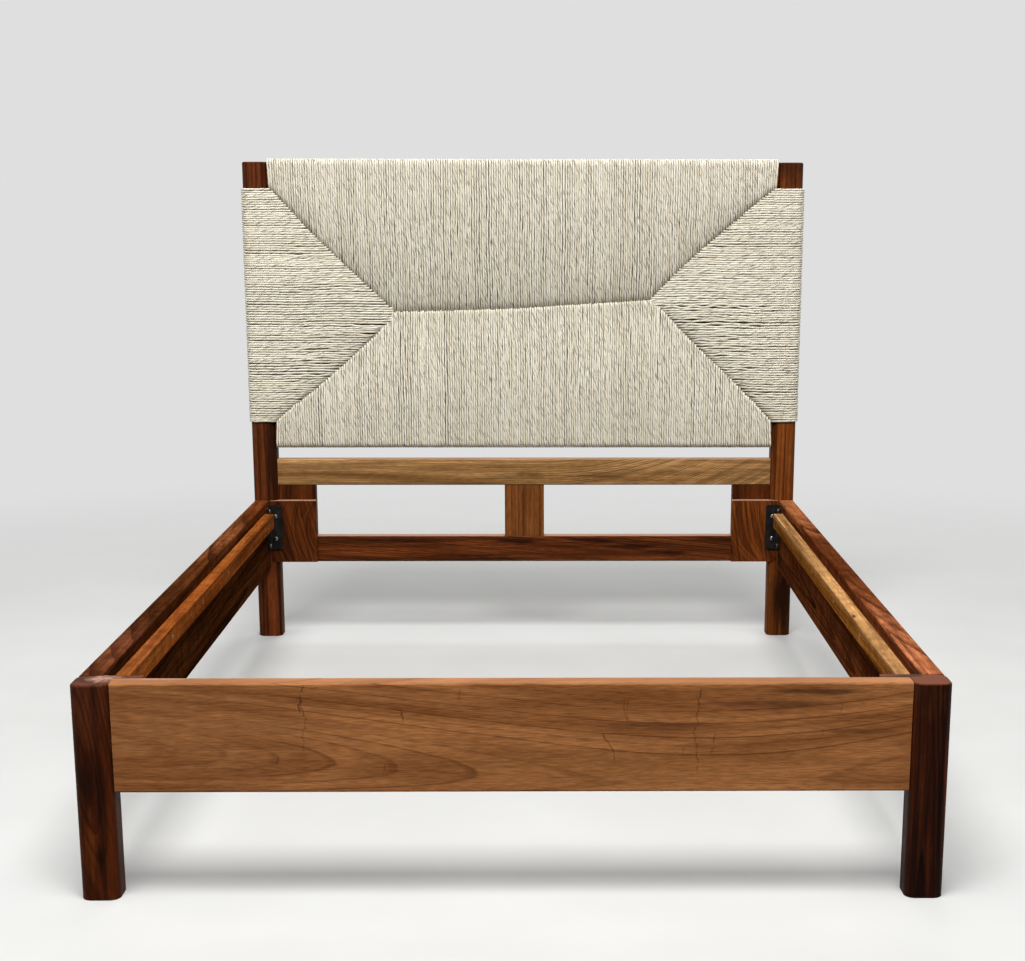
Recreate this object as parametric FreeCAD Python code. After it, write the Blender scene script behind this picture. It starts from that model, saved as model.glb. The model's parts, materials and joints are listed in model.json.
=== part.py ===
import FreeCAD, Part
import math
import os

# Timber bed frame with a woven cord headboard, in millimetres.
# +X is the right-hand side seen from the foot, +Y runs from foot to head, +Z is up.
# The origin is on the floor, under the middle of the whole bed.

# Mattress and the gaps round it
MATTRESS_WIDTH = 1524.0
MATTRESS_LENGTH = 2032.0
SIDE_GAP = 6.0
END_GAP = 7.0

# Head posts and foot legs, cut from the same square stock
POST_SIZE = 72.0
POST_ROUND = 20.0
POST_HEIGHT = 1404.0
POST_CHAMFER = 3.0
POST_REVEAL = 2.0

# Side rails, footboard and the ledgers that carry the slats
RAIL_TOP = 418.0
RAIL_HEIGHT = 210.0
RAIL_THICKNESS = 42.0
FOOTBOARD_THICKNESS = 42.0
LEDGER_WIDTH = 28.0
LEDGER_HEIGHT = 42.0
LEDGER_DROP = 26.0
LEDGER_END_GAP = 88.0

# Corner blocks, let into the posts and legs
BLOCK_THICKNESS = 18.0
BLOCK_HEIGHT = 188.0
BLOCK_HOUSING = 24.0
HEAD_BLOCK_REACH = 114.0
FOOT_BLOCK_REACH = 53.0

# Open frame under the woven panel
HEAD_FRAME_THICKNESS = 34.0
HEAD_RAIL_HEIGHT = 79.0
UPPER_RAIL_BOTTOM = 462.0
LOWER_RAIL_BOTTOM = 228.0
SIDE_STILE_WIDTH = 112.0
CENTER_STILE_WIDTH = 118.0

# Rails inside the woven panel
WEAVE_RAIL_DEPTH = 68.0
WEAVE_RAIL_ROUND = 10.0
TOP_RAIL_HEIGHT = 75.0
TOP_RAIL_RISE = 3.0
WEAVE_RAIL_HEIGHT = 70.0
WEAVE_RAIL_BOTTOM = 582.0

# Woven cord: four fields that slope from the rails back to one seam
CORD = 6.0

# Each side field ends in a blunt tip. Its setback is measured past the point where true
# mitres would meet, and its heights are measured up from the middle of the panel.
LEFT_TIP_SETBACK = 9.0
LEFT_TIP_TOP = -8.0
LEFT_SEAM_END = -24.0
LEFT_TIP_BOTTOM = -43.0
RIGHT_TIP_SETBACK = 17.0
RIGHT_TIP_TOP = 26.0
RIGHT_SEAM_END = 11.0
RIGHT_TIP_BOTTOM = 5.0

# Joinery
TENON_LENGTH = 36.0
TENON_THICKNESS = 16.0
TENON_SHOULDER = 18.0
STUB_LENGTH = 16.0
EDGE_ROUND = 4.0
SMALL_ROUND = 2.0

# Steel corner brackets and their bolts
BRACKET_LEG = 40.0
BRACKET_STEEL = 5.0
BRACKET_HEIGHT = 134.0
BRACKET_DROP = 14.0
BRACKET_CORNER = 8.0
BRACKET_BEND = 3.0
PLATE_BOLT_SPACING = 68.0
FLANGE_BOLT_SPACING = 106.0
BOLT_RADIUS = 3.5
BOLT_LENGTH = 32.0
BOLT_HEAD_RADIUS = 6.5
BOLT_HEAD_HEIGHT = 4.5
BOLT_RIM_HEIGHT = 1.5
BOLT_CROWN_RADIUS = 3.0

# Ledger screws
SCREW_COUNT = 6
SCREW_END_INSET = 70.0
SCREW_RADIUS = 2.5
SCREW_LENGTH = 56.0
SCREW_HEAD_RADIUS = 5.0
SCREW_HEAD_HEIGHT = 3.0

# Flats round the bolts, the screws and their holes
FASTENER_FLATS = 12

# Clearances
TENON_CLEARANCE = 0.2
BOLT_CLEARANCE = 0.2
WRAP_CLEARANCE = 0.3

Vector = FreeCAD.Vector
X_AXIS = Vector(1, 0, 0)
Y_AXIS = Vector(0, 1, 0)
Z_AXIS = Vector(0, 0, 1)

# Places across the bed
RAIL_INNER_X = MATTRESS_WIDTH / 2 + SIDE_GAP
RAIL_OUTER_X = RAIL_INNER_X + RAIL_THICKNESS
POST_OUTER_X = RAIL_OUTER_X + POST_REVEAL
POST_INNER_X = POST_OUTER_X - POST_SIZE
POST_MID_X = POST_OUTER_X - POST_SIZE / 2
LEDGER_INNER_X = RAIL_INNER_X - LEDGER_WIDTH
BLOCK_OUTER_X = POST_INNER_X + BLOCK_HOUSING
BOLT_X = RAIL_INNER_X - BRACKET_LEG / 2

# Places along the bed
LEG_PROUD = POST_SIZE - FOOTBOARD_THICKNESS - BLOCK_THICKNESS
INSIDE_LENGTH = MATTRESS_LENGTH + 2 * END_GAP
WRAP = WRAP_CLEARANCE + CORD
TOTAL_LENGTH = LEG_PROUD + FOOTBOARD_THICKNESS + INSIDE_LENGTH + POST_SIZE + WRAP
LEG_FRONT_Y = -TOTAL_LENGTH / 2
LEG_BACK_Y = LEG_FRONT_Y + POST_SIZE
FOOTBOARD_FRONT_Y = LEG_FRONT_Y + LEG_PROUD
FOOTBOARD_BACK_Y = FOOTBOARD_FRONT_Y + FOOTBOARD_THICKNESS
FOOTBOARD_MID_Y = FOOTBOARD_FRONT_Y + FOOTBOARD_THICKNESS / 2
POST_FRONT_Y = FOOTBOARD_BACK_Y + INSIDE_LENGTH
POST_BACK_Y = POST_FRONT_Y + POST_SIZE
POST_MID_Y = POST_FRONT_Y + POST_SIZE / 2
HEAD_FRAME_FRONT_Y = POST_FRONT_Y + BLOCK_THICKNESS
HEAD_FRAME_MID_Y = HEAD_FRAME_FRONT_Y + HEAD_FRAME_THICKNESS / 2

# Heights
RAIL_BOTTOM = RAIL_TOP - RAIL_HEIGHT
BLOCK_BOTTOM = RAIL_TOP - BLOCK_HEIGHT
LEDGER_TOP = RAIL_TOP - LEDGER_DROP
LEDGER_BOTTOM = LEDGER_TOP - LEDGER_HEIGHT
LEDGER_MID_Z = LEDGER_TOP - LEDGER_HEIGHT / 2
UPPER_RAIL_TOP = UPPER_RAIL_BOTTOM + HEAD_RAIL_HEIGHT
LOWER_RAIL_TOP = LOWER_RAIL_BOTTOM + HEAD_RAIL_HEIGHT
TOP_RAIL_TOP = POST_HEIGHT + TOP_RAIL_RISE
PANEL_TOP = TOP_RAIL_TOP - TOP_RAIL_HEIGHT
PANEL_BOTTOM = WEAVE_RAIL_BOTTOM + WEAVE_RAIL_HEIGHT
PANEL_MID_Z = (PANEL_TOP + PANEL_BOTTOM) / 2
BRACKET_TOP = RAIL_TOP - BRACKET_DROP
BRACKET_MID_Z = BRACKET_TOP - BRACKET_HEIGHT / 2
BRACKET_BOTTOM = BRACKET_TOP - BRACKET_HEIGHT

# The woven face, clear of the posts and rails, and the ends of its seam
FIELD_X = POST_INNER_X - WRAP_CLEARANCE
FIELD_TOP = PANEL_TOP - WRAP_CLEARANCE
FIELD_BOTTOM = PANEL_BOTTOM + WRAP_CLEARANCE
MITRE_X = FIELD_X - (FIELD_TOP - FIELD_BOTTOM) / 2
LEFT_TIP_X = LEFT_TIP_SETBACK - MITRE_X
RIGHT_TIP_X = MITRE_X - RIGHT_TIP_SETBACK
LEFT_TIP = [(LEFT_TIP_X, PANEL_MID_Z + LEFT_TIP_BOTTOM), (LEFT_TIP_X, PANEL_MID_Z + LEFT_TIP_TOP)]
RIGHT_TIP = [(RIGHT_TIP_X, PANEL_MID_Z + RIGHT_TIP_BOTTOM), (RIGHT_TIP_X, PANEL_MID_Z + RIGHT_TIP_TOP)]
SEAM = [(LEFT_TIP_X, PANEL_MID_Z + LEFT_SEAM_END), (RIGHT_TIP_X, PANEL_MID_Z + RIGHT_SEAM_END)]

# The cross rails: middle of the depth, depth, bottom, top and edge round
HEAD_FRAME_DEPTH = (HEAD_FRAME_MID_Y, HEAD_FRAME_THICKNESS)
CROSS_RAILS = {
    "footboard": (FOOTBOARD_MID_Y, FOOTBOARD_THICKNESS, RAIL_BOTTOM, RAIL_TOP, EDGE_ROUND),
    "head_lower_rail": HEAD_FRAME_DEPTH + (LOWER_RAIL_BOTTOM, LOWER_RAIL_TOP, EDGE_ROUND),
    "head_upper_rail": HEAD_FRAME_DEPTH + (UPPER_RAIL_BOTTOM, UPPER_RAIL_TOP, EDGE_ROUND),
    "head_weave_rail": (POST_MID_Y, WEAVE_RAIL_DEPTH, WEAVE_RAIL_BOTTOM, PANEL_BOTTOM, WEAVE_RAIL_ROUND),
    "head_top_rail": (POST_MID_Y, WEAVE_RAIL_DEPTH, PANEL_TOP, TOP_RAIL_TOP, WEAVE_RAIL_ROUND),
}
HEAD_RAILS = [name for name in CROSS_RAILS if name.startswith("head")]


def board(x_range, y_range, z_range):
    """A square-edged board that fills three ranges, each given low end first."""
    size = [high - low for low, high in (x_range, y_range, z_range)]
    return Part.makeBox(size[0], size[1], size[2], Vector(x_range[0], y_range[0], z_range[0]))


def about(middle, width):
    """The range of one width about its middle."""
    return (middle - width / 2, middle + width / 2)


def grown(limits, slack):
    """A range widened by the same slack at both ends."""
    return (limits[0] - slack, limits[1] + slack)


def mirrored(shape):
    """The same piece on the other side of the bed."""
    return shape.mirror(Vector(0, 0, 0), X_AXIS)


def eased(shape, axis, radius):
    """Round every straight edge that runs along one axis."""
    edges = [edge for edge in shape.Edges if abs(edge.tangentAt(edge.FirstParameter).dot(axis)) > 0.999]
    return shape.makeFillet(radius, edges)


def top_edges(shape):
    """The edges of the highest face."""
    top = shape.BoundBox.ZMax
    return [edge for edge in shape.Edges if top - edge.BoundBox.ZMin < 0.01]


def upright(y_range, height):
    """A right-hand square post from the floor, with round corners."""
    return eased(board((POST_INNER_X, POST_OUTER_X), y_range, (0, height)), Z_AXIS, POST_ROUND)


def tenon(name, slack=0.0):
    """The right-hand tenon of a cross rail, or with slack the mortise that takes it."""
    mid_y, depth, low_z, high_z, edge_round = CROSS_RAILS[name]
    x_range = grown((POST_INNER_X, POST_INNER_X + TENON_LENGTH), slack)
    y_range = grown(about(mid_y, TENON_THICKNESS), slack)
    z_range = grown((low_z + TENON_SHOULDER, high_z - TENON_SHOULDER), slack)
    return board(x_range, y_range, z_range)


def cross_rail(name):
    """A rail between the two posts or legs, with a tenon at each end."""
    mid_y, depth, low_z, high_z, edge_round = CROSS_RAILS[name]
    body = board((-POST_INNER_X, POST_INNER_X), about(mid_y, depth), (low_z, high_z))
    body = eased(body, X_AXIS, edge_round)
    return body.fuse([tenon(name), mirrored(tenon(name))])


def stub(mid_x, width, slack=0.0):
    """The stub tenons of one upright of the head frame, through both of its ends."""
    x_range = grown(about(mid_x, width - 2 * TENON_SHOULDER), slack)
    y_range = grown(about(HEAD_FRAME_MID_Y, TENON_THICKNESS), slack)
    z_range = grown((LOWER_RAIL_TOP - STUB_LENGTH, UPPER_RAIL_BOTTOM + STUB_LENGTH), slack)
    return board(x_range, y_range, z_range)


def stile(mid_x, width):
    """An upright of the head frame, from the lower rail to the upper one."""
    y_range = (HEAD_FRAME_FRONT_Y, HEAD_FRAME_FRONT_Y + HEAD_FRAME_THICKNESS)
    body = board(about(mid_x, width), y_range, (LOWER_RAIL_TOP, UPPER_RAIL_BOTTOM))
    return body.fuse(stub(mid_x, width))


def corner_block(y_range, reach):
    """A right-hand corner block, from its free end to the end housed in the post."""
    block = board((POST_INNER_X - reach, BLOCK_OUTER_X), y_range, (BLOCK_BOTTOM, RAIL_TOP))
    free_edges = [edge for edge in block.Edges if abs(edge.BoundBox.XMax - block.BoundBox.XMin) < 0.01]
    upright_edges = [edge for edge in free_edges if edge.BoundBox.ZLength > 1.0]
    return block.makeFillet(SMALL_ROUND, upright_edges)


def ring(height, radius):
    """A level outline about the Z axis, with the flats of the fasteners."""
    angles = [2 * math.pi * index / FASTENER_FLATS for index in range(FASTENER_FLATS)]
    points = [Vector(radius * math.cos(angle), radius * math.sin(angle), height) for angle in angles]
    return Part.makePolygon(points + points[:1])


def turned(sections):
    """A solid about the Z axis through sections of height and radius, from the foot up."""
    return Part.makeLoft([ring(height, radius) for height, radius in sections], True, True)


def bolt():
    """A bolt with a crowned head that sits on the plane Z = 0."""
    shank = turned([(-BOLT_LENGTH, BOLT_RADIUS), (0, BOLT_RADIUS)])
    rim = (BOLT_RIM_HEIGHT, BOLT_HEAD_RADIUS)
    head = turned([(0, BOLT_HEAD_RADIUS), rim, (BOLT_HEAD_HEIGHT, BOLT_CROWN_RADIUS)])
    return shank.fuse(head)


def bolt_hole():
    """The hole for a bolt, from above its head seat to below its end."""
    radius = BOLT_RADIUS + BOLT_CLEARANCE
    return turned([(-BOLT_LENGTH - BOLT_CLEARANCE, radius), (BOLT_HEAD_HEIGHT, radius)])


def screw(slack=0.0):
    """A countersunk screw level with the plane Z = 0, or with slack the hole that takes it."""
    shank = SCREW_RADIUS + slack
    head = SCREW_HEAD_RADIUS + slack
    return turned([(-SCREW_LENGTH - slack, shank), (-SCREW_HEAD_HEIGHT, shank), (0, head)])


def placed(shape, position, axis):
    """A round solid moved to a position, with its Z axis turned along another axis."""
    copy = shape.copy()
    copy.Placement = FreeCAD.Placement(position, FreeCAD.Rotation(Z_AXIS, axis))
    return copy


def bolt_seats(face_y, inward):
    """Head seats of one right-hand bracket's bolts; inward is +1 at the foot and -1 at the head."""
    seats = []
    for side in (-1, 1):
        plate_z = BRACKET_MID_Z + side * PLATE_BOLT_SPACING / 2
        seats.append((Vector(BOLT_X, face_y + inward * BRACKET_STEEL, plate_z), Y_AXIS * inward))
        flange_z = BRACKET_MID_Z + side * FLANGE_BOLT_SPACING / 2
        flange_y = face_y + inward * BRACKET_LEG / 2
        seats.append((Vector(RAIL_INNER_X - BRACKET_STEEL, flange_y, flange_z), -X_AXIS))
    return seats


def screw_seats():
    """Head seats of the right-hand ledger's screws."""
    first = LEG_BACK_Y + LEDGER_END_GAP + SCREW_END_INSET
    last = POST_FRONT_Y - LEDGER_END_GAP - SCREW_END_INSET
    pitch = (last - first) / (SCREW_COUNT - 1)
    places = [first + index * pitch for index in range(SCREW_COUNT)]
    return [(Vector(LEDGER_INNER_X, place, LEDGER_MID_Z), -X_AXIS) for place in places]


HEAD_SEATS = bolt_seats(POST_FRONT_Y, -1)
FOOT_SEATS = bolt_seats(LEG_BACK_Y, 1)


def drilled(shape, seats, hole):
    """Cut the same hole at each seat."""
    return shape.cut([placed(hole, position, axis) for position, axis in seats])


def head_post():
    """The right-hand head post, with its mortises and the housing of its block."""
    post = upright((POST_FRONT_Y, POST_BACK_Y), POST_HEIGHT)
    post = post.makeChamfer(POST_CHAMFER, top_edges(post))
    housing = corner_block((POST_FRONT_Y, HEAD_FRAME_FRONT_Y), HEAD_BLOCK_REACH)
    post = post.cut([tenon(name, TENON_CLEARANCE) for name in HEAD_RAILS] + [housing])
    return drilled(post, HEAD_SEATS, bolt_hole())


def foot_leg():
    """The right-hand foot leg, with the footboard's mortise and the housing of its block."""
    leg = upright((LEG_FRONT_Y, LEG_BACK_Y), RAIL_TOP)
    leg = leg.makeFillet(EDGE_ROUND, top_edges(leg))
    housing = corner_block((FOOTBOARD_BACK_Y, LEG_BACK_Y), FOOT_BLOCK_REACH)
    leg = leg.cut([tenon("footboard", TENON_CLEARANCE), housing])
    return drilled(leg, FOOT_SEATS, bolt_hole())


def head_block():
    """The right-hand head block, level with the front of the post."""
    block = corner_block((POST_FRONT_Y, HEAD_FRAME_FRONT_Y), HEAD_BLOCK_REACH)
    return drilled(block, HEAD_SEATS, bolt_hole())


def foot_block():
    """The right-hand foot block, behind the footboard and level with the back of the leg."""
    block = corner_block((FOOTBOARD_BACK_Y, LEG_BACK_Y), FOOT_BLOCK_REACH)
    return drilled(block, FOOT_SEATS, bolt_hole())


def side_rail():
    """The right-hand side rail, butted between leg and post."""
    rail = board((RAIL_INNER_X, RAIL_OUTER_X), (LEG_BACK_Y, POST_FRONT_Y), (RAIL_BOTTOM, RAIL_TOP))
    rail = drilled(eased(rail, Y_AXIS, EDGE_ROUND), HEAD_SEATS + FOOT_SEATS, bolt_hole())
    return drilled(rail, screw_seats(), screw(BOLT_CLEARANCE))


def ledger():
    """The right-hand ledger, which stops short of the brackets at both ends."""
    y_range = (LEG_BACK_Y + LEDGER_END_GAP, POST_FRONT_Y - LEDGER_END_GAP)
    strip = board((LEDGER_INNER_X, RAIL_INNER_X), y_range, (LEDGER_BOTTOM, LEDGER_TOP))
    return drilled(eased(strip, Y_AXIS, SMALL_ROUND), screw_seats(), screw(BOLT_CLEARANCE))


def bracket(face_y, inward):
    """A right-hand steel angle in the corner between a side rail and a corner block."""
    z_range = (BRACKET_BOTTOM, BRACKET_TOP)
    plate_y = sorted((face_y, face_y + inward * BRACKET_STEEL))
    flange_y = sorted((face_y, face_y + inward * BRACKET_LEG))
    plate = board((RAIL_INNER_X - BRACKET_LEG, RAIL_INNER_X), plate_y, z_range)
    flange = board((RAIL_INNER_X - BRACKET_STEEL, RAIL_INNER_X), flange_y, z_range)
    angle = plate.fuse(flange).removeSplitter()
    bend_x = RAIL_INNER_X - BRACKET_STEEL
    bends = [edge for edge in angle.Edges if is_bend(edge, bend_x, face_y + inward * BRACKET_STEEL)]
    heel = [edge for edge in angle.Edges if is_bend(edge, RAIL_INNER_X, face_y)]
    angle = angle.makeFillet(BRACKET_BEND, bends + heel)
    corners = [edge for edge in angle.Edges if is_free_corner(edge, angle.BoundBox, inward)]
    return angle.makeFillet(BRACKET_CORNER, corners)


def is_bend(edge, x, y):
    """Whether an edge is the upright one at a place."""
    middle = edge.BoundBox.Center
    return edge.BoundBox.ZLength > BRACKET_STEEL and abs(middle.x - x) < 0.01 and abs(middle.y - y) < 0.01


def is_free_corner(edge, box, inward):
    """Whether an edge runs through the steel at a free corner of the plate or the flange."""
    limits = edge.BoundBox
    if limits.ZLength > 0.01 or limits.DiagonalLength > BRACKET_STEEL + 0.01:
        return False
    on_plate_end = abs(limits.XMax - box.XMin) < 0.01
    flange_end = box.YMax if inward > 0 else box.YMin
    on_flange_end = abs(limits.Center.y - flange_end) < 0.01 and limits.YLength < 0.01
    return on_plate_end or on_flange_end


def head_bracket():
    """The right-hand bracket on the head post."""
    return drilled(bracket(POST_FRONT_Y, -1), HEAD_SEATS, bolt_hole())


def foot_bracket():
    """The right-hand bracket on the foot leg."""
    return drilled(bracket(LEG_BACK_Y, 1), FOOT_SEATS, bolt_hole())


def at_depth(point, depth):
    """A point of the panel's face, given as X and Z, at a depth from its middle plane."""
    return Vector(point[0], POST_MID_Y + depth, point[1])


def field(rows, depths):
    """A hipped field of the weave, from rows of two end points and each row's half thickness."""
    sheets = []
    for side in (-1, 1):
        sheets.append([[at_depth(point, side * depth) for point in row] for row, depth in zip(rows, depths)])
    corners = []
    for sheet in sheets:
        for row, following in zip(sheet, sheet[1:]):
            corners.append([row[0], row[1], following[1]])
            corners.append([row[0], following[1], following[0]])
    front, back = [outline(sheet) for sheet in sheets]
    for index in range(len(front)):
        corners.append([front[index - 1], front[index], back[index], back[index - 1]])
    faces = [Part.Face(Part.makePolygon(points + points[:1])) for points in corners]
    solid = Part.makeSolid(Part.makeShell(faces))
    solid.fix(0.001, 0.001, 0.001)
    return solid


def outline(sheet):
    """The points round a sheet of rows: along the first ends and back along the last ends."""
    return [row[0] for row in sheet] + [row[1] for row in reversed(sheet)]


def wrapped_rail(name):
    """The space of a weave rail with its clearance, run on past the posts."""
    mid_y, depth, low_z, high_z, edge_round = CROSS_RAILS[name]
    y_range = grown(about(mid_y, depth), WRAP_CLEARANCE)
    z_range = grown((low_z, high_z), WRAP_CLEARANCE)
    space = board((-POST_OUTER_X, POST_OUTER_X), y_range, z_range)
    return eased(space, X_AXIS, edge_round + WRAP_CLEARANCE)


def across_weave(name, outward):
    """The cord wound over a weave rail; outward is +1 over the top and -1 under the bottom."""
    mid_y, depth, low_z, high_z, edge_round = CROSS_RAILS[name]
    half_depth = depth / 2 + WRAP
    line_z = low_z - WRAP_CLEARANCE if outward > 0 else high_z + WRAP_CLEARANCE
    far_z = high_z + WRAP if outward > 0 else low_z - WRAP
    x_range = (-FIELD_X, FIELD_X)
    wrap = board(x_range, about(mid_y, 2 * half_depth), sorted((line_z, far_z)))
    far_edges = [edge for edge in wrap.Edges if is_far_edge(edge, far_z)]
    wrap = wrap.makeFillet(edge_round + WRAP, far_edges)
    tips = [tip[(outward + 1) // 2] for tip in (LEFT_TIP, RIGHT_TIP)]
    slope = field([[(-FIELD_X, line_z), (FIELD_X, line_z)], tips, SEAM], [half_depth, CORD, CORD])
    return wrap.fuse(slope).cut(wrapped_rail(name)).removeSplitter()


def is_far_edge(edge, z):
    """Whether an edge runs across the bed at a height."""
    return edge.BoundBox.XLength > FIELD_X and abs(edge.BoundBox.Center.z - z) < 0.01


def side_weave(side, tip):
    """The cord wound round one post; side is -1 on the left and +1 on the right."""
    half_depth = POST_SIZE / 2 + WRAP
    x_range = sorted((side * FIELD_X, side * (POST_OUTER_X + WRAP)))
    wrap = board(x_range, about(POST_MID_Y, 2 * half_depth), (FIELD_BOTTOM, FIELD_TOP))
    far_edges = [edge for edge in wrap.Edges if is_outer_edge(edge, x_range[(side + 1) // 2])]
    wrap = wrap.makeFillet(POST_ROUND + WRAP, far_edges)
    slope = field([[(side * FIELD_X, FIELD_BOTTOM), (side * FIELD_X, FIELD_TOP)], tip], [half_depth, CORD])
    x_space = grown(about(side * POST_MID_X, POST_SIZE), WRAP_CLEARANCE)
    y_space = grown((POST_FRONT_Y, POST_BACK_Y), WRAP_CLEARANCE)
    space = eased(board(x_space, y_space, (0, POST_HEIGHT)), Z_AXIS, POST_ROUND + WRAP_CLEARANCE)
    return wrap.fuse(slope).cut(space).removeSplitter()


def is_outer_edge(edge, x):
    """Whether an edge runs upright at a place across the bed."""
    return edge.BoundBox.ZLength > CORD and abs(edge.BoundBox.Center.x - x) < 0.01


def head_frame():
    """The open frame under the panel: two rails and three uprights."""
    side_mid_x = POST_INNER_X - SIDE_STILE_WIDTH / 2
    uprights = [(-side_mid_x, SIDE_STILE_WIDTH), (0.0, CENTER_STILE_WIDTH), (side_mid_x, SIDE_STILE_WIDTH)]
    mortises = [stub(mid_x, width, TENON_CLEARANCE) for mid_x, width in uprights]
    pieces = {name: cross_rail(name).cut(mortises) for name in ("head_lower_rail", "head_upper_rail")}
    names = ("head_stile_left", "head_center_stile", "head_stile_right")
    for name, (mid_x, width) in zip(names, uprights):
        pieces[name] = stile(mid_x, width)
    return pieces


def paired(name, shape):
    """A right-hand piece and its mirror image, under their two names."""
    return {name + "_left": mirrored(shape), name + "_right": shape}


def fastener_group(shape, seats):
    """The same fastener at each seat on both sides, as separate solids."""
    right = [placed(shape, position, axis) for position, axis in seats]
    return Part.makeCompound(right + [mirrored(one) for one in right])


def bed():
    """Every piece of the bed, by name."""
    pieces = {name: cross_rail(name) for name in ("footboard", "head_weave_rail", "head_top_rail")}
    pieces.update(head_frame())
    pieces.update(paired("head_post", head_post()))
    pieces.update(paired("head_block", head_block()))
    pieces.update(paired("head_bracket", head_bracket()))
    pieces.update(paired("foot_leg", foot_leg()))
    pieces.update(paired("foot_block", foot_block()))
    pieces.update(paired("foot_bracket", foot_bracket()))
    pieces.update(paired("side_rail", side_rail()))
    pieces.update(paired("ledger", ledger()))
    pieces["weave_top"] = across_weave("head_top_rail", 1)
    pieces["weave_bottom"] = across_weave("head_weave_rail", -1)
    pieces["weave_left"] = side_weave(-1, LEFT_TIP)
    pieces["weave_right"] = side_weave(1, RIGHT_TIP)
    pieces["bracket_bolts"] = fastener_group(bolt(), HEAD_SEATS + FOOT_SEATS)
    pieces["ledger_screws"] = fastener_group(screw(), screw_seats())
    return pieces


def main():
    """Write one file per piece."""
    os.makedirs("parts", exist_ok=True)
    for name, shape in bed().items():
        shape.exportStep("parts/%s.step" % name)
        print(name, len(shape.Solids), shape.isValid(), round(shape.Volume))


main()
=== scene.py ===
"""Looks of the bed frame with a woven cord headboard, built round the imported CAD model."""

import json
import math

import bmesh
import bpy
import numpy as np
from mathutils import Matrix, Vector

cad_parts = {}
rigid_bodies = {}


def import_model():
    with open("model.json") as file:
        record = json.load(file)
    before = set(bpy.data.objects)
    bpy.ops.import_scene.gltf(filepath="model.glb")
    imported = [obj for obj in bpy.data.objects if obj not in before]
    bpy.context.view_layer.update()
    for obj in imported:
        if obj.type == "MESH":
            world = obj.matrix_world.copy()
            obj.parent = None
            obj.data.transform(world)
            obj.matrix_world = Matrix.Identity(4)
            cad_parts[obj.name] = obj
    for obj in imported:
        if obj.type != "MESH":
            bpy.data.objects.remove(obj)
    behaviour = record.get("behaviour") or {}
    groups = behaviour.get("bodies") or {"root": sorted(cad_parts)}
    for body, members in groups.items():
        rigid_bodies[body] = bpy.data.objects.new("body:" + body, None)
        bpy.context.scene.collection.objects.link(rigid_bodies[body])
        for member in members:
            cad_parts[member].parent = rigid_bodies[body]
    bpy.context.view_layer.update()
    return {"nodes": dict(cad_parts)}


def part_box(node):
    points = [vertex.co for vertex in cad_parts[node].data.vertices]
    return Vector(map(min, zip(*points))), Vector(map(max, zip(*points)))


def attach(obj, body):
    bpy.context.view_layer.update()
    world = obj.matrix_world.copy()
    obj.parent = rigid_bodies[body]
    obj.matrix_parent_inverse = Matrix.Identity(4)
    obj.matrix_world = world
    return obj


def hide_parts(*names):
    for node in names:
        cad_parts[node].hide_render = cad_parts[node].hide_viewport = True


for thing in list(bpy.data.objects):
    bpy.data.objects.remove(thing)
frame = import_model()
NODES = frame["nodes"]

# Camera, fitted to the frame's corners in the photograph. Pixels are those of the photograph.
IMAGE_WIDTH = 1025
IMAGE_HEIGHT = 961
FOCAL_PIXELS = 1740.69
CENTRE_PIXEL = (562.81, 607.08)
CAMERA_PLACE = Vector((0.05848, -4.16625, 1.2602))
CAMERA_YAW = 0.011135
CAMERA_PITCH = 0.222467
CAMERA_ROLL = -0.001204
SENSOR_WIDTH = 36.0


def tone(red, green, blue):
    """A colour written as on a screen, 0 to 255, as the linear values that sockets take."""
    linear = [((level / 255 + 0.055) / 1.055) ** 2.4 for level in (red, green, blue)]
    return (*linear, 1.0)


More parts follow.
